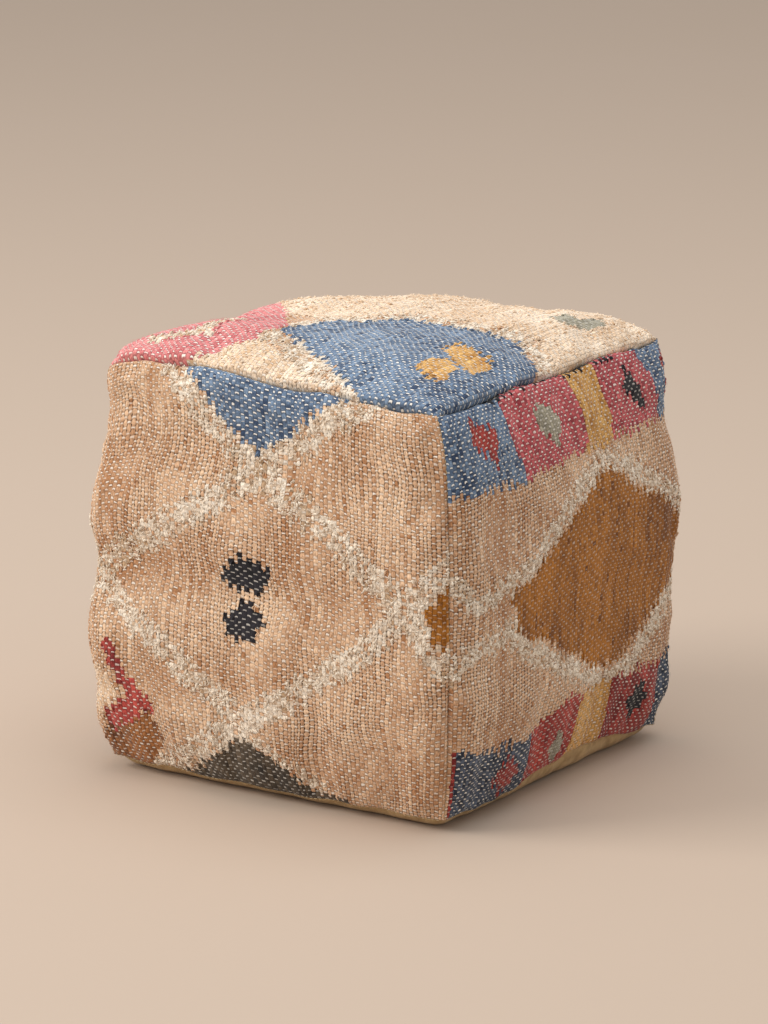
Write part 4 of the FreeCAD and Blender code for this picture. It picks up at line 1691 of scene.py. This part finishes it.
@dataclass(frozen=True)
class BrassFinish:
    """Worn brass of the zip."""

    name: str = "worn brass"
    bright: Colour = (206, 168, 98)
    dull: Colour = (132, 98, 52)
    patch_scale: float = 260.0
    patch_detail: float = 3.0
    patch_span: Point = (0.42, 0.66)
    scratch_stretch: Place = (400.0, 3000.0, 1500.0)
    scratch_scale: float = 1.0
    scratch_detail: float = 2.0
    bump_strength: float = 0.15
    bump_height: float = 0.05 * MM
    roughness: float = 0.34

    def material(self) -> Material:
        """Dull patches over bright metal, with fine scratches.

        Returns:
            The finished material.
        """
        graph = ShaderGraph(self.name)
        patch = graph.noise(graph.object_place(), self.patch_scale, self.patch_detail)
        stretched = graph.object_place(self.scratch_stretch)
        scratch = graph.noise(stretched, self.scratch_scale, self.scratch_detail)
        colour = graph.mix(graph.ramp(patch, self.patch_span), rgba(self.bright), rgba(self.dull))
        graph.bump(scratch, self.bump_strength, self.bump_height)
        return graph.finish(colour, self.roughness, metal=1.0)


@dataclass(frozen=True)
class YarnStrandFinish:
    """Look of the loose yarn, read from its stored colours."""

    name: str = "loose yarn"
    roughness: float = 0.95
    sheen: float = 0.1

    def material(self) -> Material:
        """Stored yarn colour on a rough, slightly sheeny surface."""
        graph = ShaderGraph(self.name)
        return graph.finish(graph.stored(YARN_COLOUR), self.roughness, sheen=self.sheen)


@dataclass(frozen=True)
class SeamStitches:
    """Rows of stitches along seams: each stitch is a short arch of thread."""

    pitch: float = 5.0 * MM
    length: float = 3.6 * MM
    radius: float = 0.45 * MM
    end_share: float = 0.5
    rise: float = 0.7 * MM
    steps: int = 5

    def build(self, name: str, seams: list[tuple[Array, Array]], material: Material) -> Piece:
        """Makes all the stitches of one CAD thread node.

        Args:
            name: Name of the CAD node that the stitches stand for.
            seams: For each seam, the points along it and the way out of the cloth.
            material: Thread material.

        Returns:
            The finished piece.
        """
        parts = [self.row(path, out) for path, out in seams]
        paths, normals = (np.concatenate(part) for part in zip(*parts))
        share = np.linspace(-0.5, 0.5, self.steps)
        radii = np.broadcast_to(self.radius * taper(share, self.end_share), paths.shape[:2])
        piece = make_piece(name + "_stitches", *tubes(paths, normals, radii))
        dress(piece, material, name)
        return piece

    def row(self, path: Array, out: Array) -> tuple[Array, Array]:
        """Stitches of one seam, evenly spaced along its length, each rising out of the cloth by a cosine.

        Args:
            path: Points along the seam.
            out: Way out of the cloth.

        Returns:
            Paths of the stitches and their ways out.
        """
        run = np.concatenate([[0.0], np.cumsum(np.linalg.norm(np.diff(path, axis=0), axis=1))])
        middle = np.arange(self.pitch, run[-1] - self.pitch / 2, self.pitch)
        share = np.linspace(-0.5, 0.5, self.steps)
        at = middle[:, None] + share * self.length
        points = np.stack([np.interp(at, run, line) for line in path.T], axis=-1)
        points += (self.rise * np.cos(math.pi * share))[:, None] * out
        return points, np.broadcast_to(out, (len(middle), 3))


@dataclass(frozen=True)
class CoverSeams:
    """Stitches of the cover, along the borders of its built panels and beside its zip."""

    panels: dict[Face, KilimPanel]
    roll: SeamRoll = SeamRoll()
    stitches: SeamStitches = SeamStitches()
    zip_points: int = 100

    def build(self, material: Material) -> list[Piece]:
        """Sews the top seam, the upright seams, the base seam and the zip.

        Args:
            material: Thread material.

        Returns:
            The finished pieces.
        """
        panels = self.panels
        top = panels[Face.TOP].points
        borders = {Seam.BASE: top[0], Seam.RIGHT: top[:, -1], Seam.TOP: top[-1], Seam.LEFT: top[:, 0]}
        uprights = [(panels[side].points[:, 0], self.way_out(side, Seam.LEFT)) for side in SIDES]
        low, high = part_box("zip_stitches")
        x = np.linspace(low.x, high.x, self.zip_points)
        level = np.full(len(x), low.z + self.stitches.radius)
        zip_rows = [np.stack([x, np.full(len(x), y), level], axis=-1) for y in (low.y, high.y)]
        seams = {
            "top_seam_thread": [(path, self.way_out(Face.TOP, seam)) for seam, path in borders.items()],
            "upright_seam_threads": uprights,
            "base_seam_thread": [(panels[side].points[0], self.way_out(side, Seam.BASE)) for side in SIDES],
            "zip_stitches": [(row, -UP) for row in zip_rows],
        }
        return [self.stitches.build(name, rows, material) for name, rows in seams.items()]

    def way_out(self, face: Face, seam: Seam) -> Array:
        """Direction out of the cloth at one seam of a face."""
        return -self.roll.directions(face)[seam]


@dataclass(frozen=True)
class BaseCloth:
    """One half of the canvas base, from its hem beside the zip to the base seam."""

    face: Face
    base_seam: Array
    half: float = 0.181
    roll: float = 0.016
    follow: float = 0.86
    inset: float = 0.008
    hollow: Point = (0.164, 0.024)
    hollow_slope: float = 0.008
    roof: float = 0.0064
    slot: Point = (0.158, 0.006)
    slot_end: float = 0.004
    hem: float = 0.012
    hem_rise: float = 0.00235
    overlap: float = 0.010
    rows: int = 150
    columns: int = 46
    turns: int = 6
    hem_points: int = 5
    fold_points: int = 3
    sliver: float = 0.02

    @property
    def name(self) -> str:
        """Name of the CAD node."""
        return "base_cloth_front" if self.face is Face.FRONT else "base_cloth_rear"

    @property
    def flat_half(self) -> float:
        """Half width of the level part of the base."""
        return self.half - self.roll

    @property
    def rim_turn(self) -> Array:
        """How far the cloth has turned up at each step of its rolled rim."""
        return np.linspace(0, math.pi / 2, self.turns + 1)[1:]

    def build(self, material: Material) -> Piece:
        """Makes the half: a section of hem, fold, floor and rolled rim, carried along the zip.

        The floor rises into a shallow hollow over the zip. Towards the rim the square spreads to the line
        of the base seam, and turns up behind it through a quarter circle.

        Args:
            material: Canvas material.

        Returns:
            The finished piece.
        """
        turn = self.rim_turn
        bend = self.flat_half + self.roll * np.sin(turn)
        level = np.linspace(-self.flat_half, self.flat_half, self.rows)
        x = np.concatenate([-bend[::-1], level, bend])[:, None]
        end_turn = np.concatenate([turn[::-1], np.zeros(self.rows), turn])[:, None]
        y, lift, side_turn = self.section(x)
        sign = self.face.axes[2][1]
        square = np.stack(np.broadcast_arrays(x, sign * y), axis=-1)
        seam = self.seam_towards(square)
        rim = (seam[..., 2] + self.overlap) * (1 - np.cos(end_turn) * np.cos(side_turn))
        z = lift + self.hollow_height(x, y) + rim
        reach = np.maximum(np.abs(x), y) / self.half
        near = smooth_step((reach - self.follow) / (1 - self.follow))
        edge = seam[..., :2] * (reach * (1 - self.inset))[..., None]
        points = np.concatenate([square + near[..., None] * (edge - square), z[..., None]], axis=-1)
        faces = grid_faces(*y.shape)
        piece = make_piece(self.name + "_canvas", points, faces if sign > 0 else faces[:, ::-1])
        dress(piece, material, self.name)
        return piece

    def section(self, x: Array) -> tuple[Array, Array, Array]:
        """Section of the cloth at each station: the hem folded back, its half-circle fold, floor and rim.

        Args:
            x: Places along the zip, as a column.

        Returns:
            Distances from the zip's middle line, heights of the hem, and turns of the rim.
        """
        turn = self.rim_turn
        open_share = np.clip((self.slot[0] + self.slot_end - np.abs(x)) / self.slot_end, self.sliver, 1)
        inner = self.slot[1] * open_share
        gap = self.hem_rise * open_share
        fold = np.linspace(0, math.pi, self.fold_points + 2)[1:-1]
        hem = inner + self.hem * open_share * np.linspace(1, 0, self.hem_points)
        folded = inner - gap / 2 * np.sin(fold)
        floor = inner + (self.flat_half - inner) * np.linspace(0, 1, self.columns)
        rim = np.broadcast_to(self.flat_half + self.roll * np.sin(turn), (len(x), len(turn)))
        y = np.concatenate([hem, folded, floor, rim], axis=1)
        level = np.zeros((len(x), self.columns + len(turn)))
        lift = np.concatenate([gap * np.ones(self.hem_points), gap / 2 * (1 + np.cos(fold)), level], axis=1)
        unturned = np.zeros(self.hem_points + self.fold_points + self.columns)
        return y, lift, np.concatenate([unturned, turn])[None, :]

    def hollow_height(self, x: Array, y: Array) -> Array:
        """Height of the hollow over the zip, with smooth slopes down to the floor at its ends and side."""
        inside = [size + self.hollow_slope - place for size, place in zip(self.hollow, (np.abs(x), y))]
        return self.roof * math.prod(smooth_step(part / self.hollow_slope) for part in inside)

    def seam_towards(self, square: Array) -> Array:
        """Points of the base seam that lie in the same direction from the middle as places of the square.

        Args:
            square: Places as rows by columns by two.

        Returns:
            Points as rows by columns by three.
        """
        wide, deep = np.moveaxis(square / np.abs(square).max(axis=-1, keepdims=True), -1, 0)
        turns = [side + (1 + run) / 2 for side, run in enumerate((wide, deep, -wide, -deep))]
        turn = np.select([deep <= -1, wide >= 1, deep >= 1], turns[:-1], turns[-1])
        count, length = self.base_seam.shape[:2]
        places = (np.arange(count)[:, None] + np.linspace(0, 1, length)).ravel()
        lines = np.moveaxis(self.base_seam, -1, 0)
        return np.stack([np.interp(turn, places, line.ravel()) for line in lines], axis=-1)


@dataclass(frozen=True)
class InnerBag:
    """Lining bag and its bead filling, just inside the cover."""

    cover: StuffedCover
    grids: dict[Face, Array]
    centre: Place = (0.0, 0.0, 0.21)
    lining_share: float = 0.965
    fill_share: float = 0.945
    edge_share: float = 0.035
    edge_reach: float = 0.07
    cut: float = 0.40
    firmness: float = 0.9

    def shrink(self, share: float) -> dict[Face, Array]:
        """Faces drawn towards the middle of the pouf, most along their edges.

        Args:
            share: Share of the distance from the middle that is left.

        Returns:
            Grid of each face.
        """
        place = np.linspace(0, 1, self.cover.count)
        near = np.exp(-np.minimum(place, 1 - place) / self.edge_reach)
        factor = (share - self.edge_share * np.maximum(near[:, None], near))[..., None]
        centre = np.array(self.centre)
        return {face: centre + (grid - centre) * factor for face, grid in self.grids.items()}

    def build(self, lining: Material, beads: Material, thread: Material) -> list[Piece]:
        """Makes the three lining pieces, the filling, and the stitches of the lining's top and base seams.

        Args:
            lining: Lining material.
            beads: Bead material.
            thread: Thread material.

        Returns:
            The finished pieces.
        """
        faces = self.shrink(self.lining_share)
        groups = {"liner_top": (Face.TOP,), "liner_wall": SIDES, "liner_base": (Face.BASE,)}
        pieces = []
        for node, members in groups.items():
            points, quads, _ = self.cover.sew({face: faces[face] for face in members})
            piece = make_piece(node + "_bag", points, quads)
            dress(piece, lining, node)
            pieces.append(piece)
        points, quads, _ = self.cover.sew(self.shrink(self.fill_share))
        fill = make_piece("bead_fill_beads", points, quads)
        dress(fill, beads, "bead_fill")
        seams = [(faces[side][row], side.axes[2]) for side in SIDES for row in (0, -1)]
        return [*pieces, fill, SeamStitches().build("liner_seam_threads", seams, thread)]


@dataclass(frozen=True)
class ZipDressing:
    """Finishes of the zip in the base, whose parts stay as they were built."""

    tapes: tuple[str, ...] = ("zip_tape_front", "zip_tape_rear")
    metal: tuple[str, ...] = ("zip_teeth_front", "zip_teeth_rear", "zip_slider", "zip_pull", "zip_top_stops",
                              "zip_bottom_stop")

    def dress(self, tape: Material, brass: Material) -> list[Piece]:
        """Gives each part of the zip its material.

        Args:
            tape: Twill material.
            brass: Metal material.

        Returns:
            The dressed parts.
        """
        finishes = dict.fromkeys(self.tapes, tape) | dict.fromkeys(self.metal, brass)
        parts = [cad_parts[name] for name in finishes]
        for part, material in zip(parts, finishes.values()):
            part.data.materials.clear()
            part.data.materials.append(material)
        return parts


FRONT_MOTIF = Motif((
    Patch(Yarn.BLUE, ((106, 402), (146, 360), (168, 338), (196, 328), (218, 340), (244, 364), (302, 402))),
    Band(Yarn.ECRU, ((88, 402), (132, 352), (198, 312), (248, 288), (290, 260), (358, 212), (402, 256)), 25),
    Band(Yarn.ECRU, ((328, 402), (284, 374), (198, 312), (136, 268), (66, 226), (16, 196), (-2, 180)), 25),
    Band(Yarn.ECRU, ((-2, 204), (16, 186), (70, 146), (120, 114), (164, 82), (192, 62)), 24),
    Band(Yarn.ECRU, ((402, 150), (358, 204), (330, 180), (288, 142), (178, 68), (76, -2)), 24),
    Band(Yarn.ECRU, ((192, 58), (236, 31), (264, 14)), 8),
    Patch(Yarn.TAUPE, ((84, -2), (110, 6), (144, 27), (172, 52), (186, 54), (196, 47), (209, 39), (234, 25),
        (247, 13), (262, 6), (288, 5), (300, -2))),
    Patch(Yarn.ECRU, ((330, 212), (358, 236), (384, 212), (358, 182))),
    Patch(Yarn.OCHRE, ((402, 240), (376, 212), (386, 180), (402, 178))),
    Patch(Yarn.RUST, ((22, 36), (46, 48), (76, 58), (86, 38), (74, 16), (58, -2), (-2, -2), (-2, 22))),
    Patch(Yarn.CREAM, ((-2, 104), (30, 94), (40, 74), (26, 60), (14, 46), (-2, 50))),
    Patch(Yarn.RED, ((22, 130), (30, 112), (40, 96), (48, 80), (44, 66), (28, 58), (18, 46), (20, 32),
        (52, 48), (80, 62), (80, 72), (68, 74), (66, 80), (54, 96), (34, 126))),
    Patch(Yarn.BLACK, ((182, 233), (185, 225), (190, 233), (193, 226), (199, 231), (205, 222), (213, 219),
        (213, 211), (204, 209), (202, 200), (188, 198), (158, 203), (160, 209), (176, 225))),
    Patch(Yarn.BLACK, ((188, 188), (198, 185), (201, 179), (209, 173), (200, 162), (196, 151), (188, 150),
        (182, 156), (175, 150), (161, 168), (173, 175), (180, 187))),
))

RIGHT_MOTIF = Motif((
    Patch(Yarn.BLUE, ((-2, 402), (110, 402), (114, 312), (38, 316), (-2, 320))),
    Patch(Yarn.ROSE, ((110, 402), (230, 402), (226, 318), (114, 312))),
    Patch(Yarn.MUSTARD, ((230, 402), (276, 402), (272, 317), (226, 318))),
    Patch(Yarn.ROSE, ((276, 402), (340, 402), (356, 386), (358, 356), (374, 322), (272, 317))),
    Patch(Yarn.BLUE, ((340, 402), (402, 402), (402, 322), (374, 322), (358, 356), (356, 386))),
    Band(Yarn.RED, ((388, 384), (392, 366), (392, 344)), 7),
    Patch(Yarn.RED, ((50, 392), (56, 382), (76, 374), (86, 362), (76, 346), (72, 334),
        (62, 350), (40, 364))),
    Patch(Yarn.SAGE, ((162, 374), (176, 375), (186, 366), (192, 350), (184, 342), (176, 331), (170, 342),
        (158, 346), (155, 368))),
    Patch(Yarn.BLACK, ((312, 379), (322, 377), (337, 346), (332, 333), (324, 344), (303, 360), (308, 369))),
    Band(Yarn.ECRU, ((-2, 240), (32, 216), (82, 220), (126, 235), (178, 270), (250, 303), (296, 282),
        (370, 246), (402, 230)), 19),
    Band(Yarn.ECRU, ((-2, 150), (28, 170), (84, 175), (112, 151), (170, 114), (248, 74), (284, 78),
        (334, 112), (388, 147), (402, 156)), 19),
    Patch(Yarn.OCHRE, ((86, 208), (122, 220), (178, 254), (254, 292), (292, 265), (362, 238), (390, 218),
        (390, 163), (326, 126), (274, 92), (238, 94), (158, 138), (96, 178))),
    # Lower band of the right panel, its blue painted darker as shade
    Patch(Yarn.NAVY, ((10, -2), (128, -2), (131, 58), (64, 62), (10, 75))),
    Patch(Yarn.RED, ((128, -2), (210, -2), (214, 66), (188, 78), (131, 56))),
    Patch(Yarn.MUSTARD, ((210, -2), (272, -2), (266, 73), (213, 70))),
    Patch(Yarn.RED, ((272, -2), (364, -2), (366, 76), (266, 74))),
    Patch(Yarn.NAVY, ((364, -2), (402, -2), (402, 78), (366, 76))),
    Knot(Yarn.RED, (92, 30), (18, 18)),
    Knot(Yarn.SAGE, (184, 25), (11, 17), 3),
    Knot(Yarn.BLACK, (322, 42), (15, 20), 4),
    Band(Yarn.RED, ((8, 72), (8, -2)), 4),
    Band(Yarn.BLACK, ((100, 401), (300, 401)), 9),
))

TOP_MOTIF = Motif((
    Patch(Yarn.CREAM, ((-2, 300), (116, 158), (178, 150), (228, 212), (346, 218), (402, 172), (402, 402),
        (-2, 402))),
    # Rose painted lighter, as light on the top panel
    Patch(Yarn.PINK, ((-2, 300), (116, 158), (158, 102), (166, 60), (140, 34), (126, 14), (106, -2),
        (-2, -2))),
    Patch(Yarn.CREAM, ((106, -2), (126, 14), (140, 34), (166, 60), (200, 68), (262, 30), (316, -2))),
    Band(Yarn.ECRU, ((166, 100), (178, 152), (228, 214), (292, 210), (346, 222), (402, 184)), 20),
    Band(Yarn.ECRU, ((166, 64), (200, 54), (240, 30), (306, -2)), 26),
    Patch(Yarn.BLUE, ((164, 76), (178, 144), (228, 206), (292, 202), (346, 214), (362, 198), (402, 168),
        (402, -2), (318, -2), (296, 12), (262, 30), (226, 52), (200, 68))),
    Patch(Yarn.MUSTARD, ((326, 70), (330, 96), (340, 106), (354, 92), (364, 58), (352, 56))),
    Patch(Yarn.MUSTARD, ((316, 128), (320, 142), (356, 140), (368, 130), (368, 92), (342, 106))),
    Band(Yarn.ECRU, ((50, 34), (64, 40), (80, 46), (102, 52), (88, 64), (90, 80), (98, 108)), 14),
    Patch(Yarn.SAGE, ((324, 298), (330, 324), (346, 312), (350, 340), (366, 332), (366, 306), (344, 286))),
))

BACK_MOTIF = Motif((
    Patch(Yarn.ROSE, ((120, 402), (300, 402), (206, 340))),
    Patch(Yarn.BLUE, ((116, -2), (286, -2), (204, 54))),
    Band(Yarn.ECRU, ((92, 402), (206, 322), (360, 200), (402, 240)), 21),
    Band(Yarn.ECRU, ((322, 402), (206, 322), (46, 198), (-2, 160)), 21),
    Band(Yarn.ECRU, ((-2, 236), (46, 198), (204, 74), (296, -2)), 21),
    Band(Yarn.ECRU, ((402, 158), (360, 200), (204, 74), (106, -2)), 21),
    Patch(Yarn.OCHRE, ((-2, 226), (24, 198), (-2, 170))),
    Knot(Yarn.RED, (204, 220), (22, 21)),
    Knot(Yarn.RED, (204, 174), (20, 20), 5),
))

LEFT_MOTIF = Motif((
    Patch(Yarn.ROSE, ((-2, 402), (84, 402), (98, 322), (-2, 322))),
    Patch(Yarn.BLUE, ((84, 402), (196, 402), (212, 320), (98, 322))),
    Patch(Yarn.MUSTARD, ((196, 402), (250, 402), (262, 320), (212, 320))),
    Patch(Yarn.ROSE, ((250, 402), (346, 402), (354, 320), (262, 320))),
    Knot(Yarn.BLACK, (44, 362), (20, 22), 4),
    Knot(Yarn.RED, (148, 362), (23, 22)),
    Knot(Yarn.SAGE, (304, 360), (22, 22)),
    Band(Yarn.ECRU, ((-2, 250), (112, 302), (148, 306), (290, 216), (340, 200), (402, 236)), 20),
    Band(Yarn.ECRU, ((-2, 150), (120, 92), (160, 88), (290, 186), (340, 200), (402, 166)), 20),
    Patch(Yarn.OCHRE, ((-2, 234), (120, 290), (146, 292), (276, 210), (276, 190), (158, 102), (126, 104),
        (-2, 164))),
    Patch(Yarn.BLUE, ((-2, -2), (120, -2), (126, 66), (-2, 70))),
    Patch(Yarn.MUSTARD, ((120, -2), (180, -2), (182, 68), (126, 66))),
    Patch(Yarn.RED, ((180, -2), (300, -2), (304, 68), (182, 68))),
    Patch(Yarn.BLUE, ((300, -2), (346, -2), (346, 69), (304, 68))),
    Knot(Yarn.RED, (62, 34), (20, 20)),
    Knot(Yarn.BLACK, (240, 34), (18, 19), 4),
))

MOTIFS = {Face.FRONT: FRONT_MOTIF, Face.RIGHT: RIGHT_MOTIF, Face.BACK: BACK_MOTIF, Face.LEFT: LEFT_MOTIF,
          Face.TOP: TOP_MOTIF}

# Panels whose yarns lean aside near the top, in metres
LEANS = {Face.RIGHT: -0.022}
FIRST_SEED = 100
SEED_STEP = 10


def set_up(thing: Piece, place: Vector, aim: Vector) -> None:
    """Puts a camera or lamp at a place and turns it to face a direction.

    Args:
        thing: Camera or lamp.
        place: Where it stands.
        aim: Direction that it faces.
    """
    thing.location = place
    thing.rotation_euler = aim.to_track_quat("-Z", "Y").to_euler()
    bpy.context.scene.collection.objects.link(thing)


@dataclass(frozen=True)
class PhotoCamera:
    """Camera at the photograph's place, with its focal length and its aim in the photograph's pixels."""

    focal_px: float = 4780.0
    distance: float = 4.65
    azimuth: float = 34.10
    elevation: float = 14.90
    aim_px: Point = (387.45, 554.15)
    frame_px: Point = (768.0, 1024.0)
    sensor: float = 36.0

    def build(self) -> None:
        """Makes the camera and sets it on the scene."""
        data = bpy.data.cameras.new("photo_camera")
        long_side = max(self.frame_px)
        data.sensor_width = self.sensor
        data.lens = self.focal_px * self.sensor / long_side
        data.shift_x = -(self.aim_px[0] - self.frame_px[0] / 2) / long_side
        data.shift_y = (self.aim_px[1] - self.frame_px[1] / 2) / long_side
        azimuth = math.radians(self.azimuth)
        elevation = math.radians(self.elevation)
        across = math.sin(azimuth) * math.cos(elevation)
        deep = -math.cos(azimuth) * math.cos(elevation)
        away = Vector((across, deep, math.sin(elevation)))
        camera = bpy.data.objects.new("photo_camera", data)
        set_up(camera, Vector(MIDDLE) + away * self.distance, -away)
        bpy.context.scene.camera = camera


@dataclass(frozen=True)
class SoftLamp:
    """Large square lamp that faces the pouf."""

    name: str
    place: Place
    size: float
    power: float
    colour: Colour = (255, 255, 255)

    def build(self) -> None:
        """Makes the lamp and turns it to the middle of the pouf."""
        data = bpy.data.lights.new(self.name, "AREA")
        data.size = self.size
        data.energy = self.power
        data.color = linear(self.colour).tolist()
        place = Vector(self.place)
        set_up(bpy.data.objects.new(self.name, data), place, Vector(MIDDLE) - place)


@dataclass(frozen=True)
class Studio:
    """Pale flat floor, an even sky and soft lamps."""

    floor_half: float = 6.0
    floor_points: int = 3
    floor_colour: Colour = (196, 178, 162)
    cloud_colour: Colour = (190, 172, 150)
    cloud_share: float = 0.15
    cloud_scale: float = 2.0
    cloud_detail: float = 3.0
    roughness: float = 0.9
    sky_colour: Colour = (240, 238, 236)
    sky_strength: float = 0.7
    lamps: tuple[SoftLamp, ...] = (
        SoftLamp("window", (-3.4, -3.2, 3.4), 3.0, 190.0, (255, 250, 244)),
        SoftLamp("overhead", (0.4, 0.2, 4.2), 3.0, 70.0),
    )

    def build(self) -> None:
        """Makes the floor, the sky and the lamps."""
        self.lay_floor()
        world = bpy.data.worlds.new("studio_sky")
        world.use_nodes = True
        sky = world.node_tree.nodes["Background"]
        sky.inputs["Color"].default_value = rgba(self.sky_colour)
        sky.inputs["Strength"].default_value = self.sky_strength
        bpy.context.scene.world = world
        for lamp in self.lamps:
            lamp.build()
        bpy.context.scene.view_settings.view_transform = "Standard"

    def lay_floor(self) -> None:
        """Makes the floor: a level square with faint clouds."""
        run = np.linspace(-self.floor_half, self.floor_half, self.floor_points)
        x, y = np.meshgrid(run, run)
        faces = grid_faces(self.floor_points, self.floor_points)
        floor = make_piece("studio_floor", np.stack([x, y, 0 * x], axis=-1), faces)
        graph = ShaderGraph("studio_floor")
        cloud = graph.noise(graph.object_place(), self.cloud_scale, self.cloud_detail)
        share = graph.math("MULTIPLY", cloud, self.cloud_share)
        pale = graph.mix(share, rgba(self.floor_colour), rgba(self.cloud_colour))
        floor.data.materials.append(graph.finish(pale, self.roughness))


def report(*pieces: Piece) -> None:
    """Logs the name and the size of each piece."""
    for piece in pieces:
        LOG.info("%s: %d faces", piece.name, len(piece.data.polygons))


def main() -> None:
    """Builds the pouf piece by piece, then the studio round it."""
    logging.basicConfig(level=logging.INFO, format="%(name)s: %(message)s")
    cover = StuffedCover(CushionForm())
    grids = cover.grids()
    weave = Weave()
    kilim = KilimFinish(weave).material()
    strand = YarnStrandFinish().material()
    thread = COTTON_THREAD.material()
    panels = {}
    for number, (face, motif) in enumerate(MOTIFS.items()):
        seed = FIRST_SEED + SEED_STEP * number
        panel = KilimPanel(face, motif, weave, SeamRoll(), seed, LEANS.get(face, 0.0))
        report(panel.build(grids[face], kilim))
        report(YarnFuzz().build(panel, strand))
        panels[face] = panel
    report(*CoverSeams(panels).build(thread))
    canvas = NATURAL_CANVAS.material()
    base_seam = np.stack([panels[side].points[0] for side in SIDES])
    for face in (Face.FRONT, Face.BACK):
        report(BaseCloth(face, base_seam).build(canvas))
    report(*InnerBag(cover, grids).build(WHITE_LINING.material(), FOAM_BEADS.material(), thread))
    report(*ZipDressing().dress(ZIP_TAPE.material(), BrassFinish().material()))
    PhotoCamera().build()
    Studio().build()


if __name__ == "__main__":
    main()
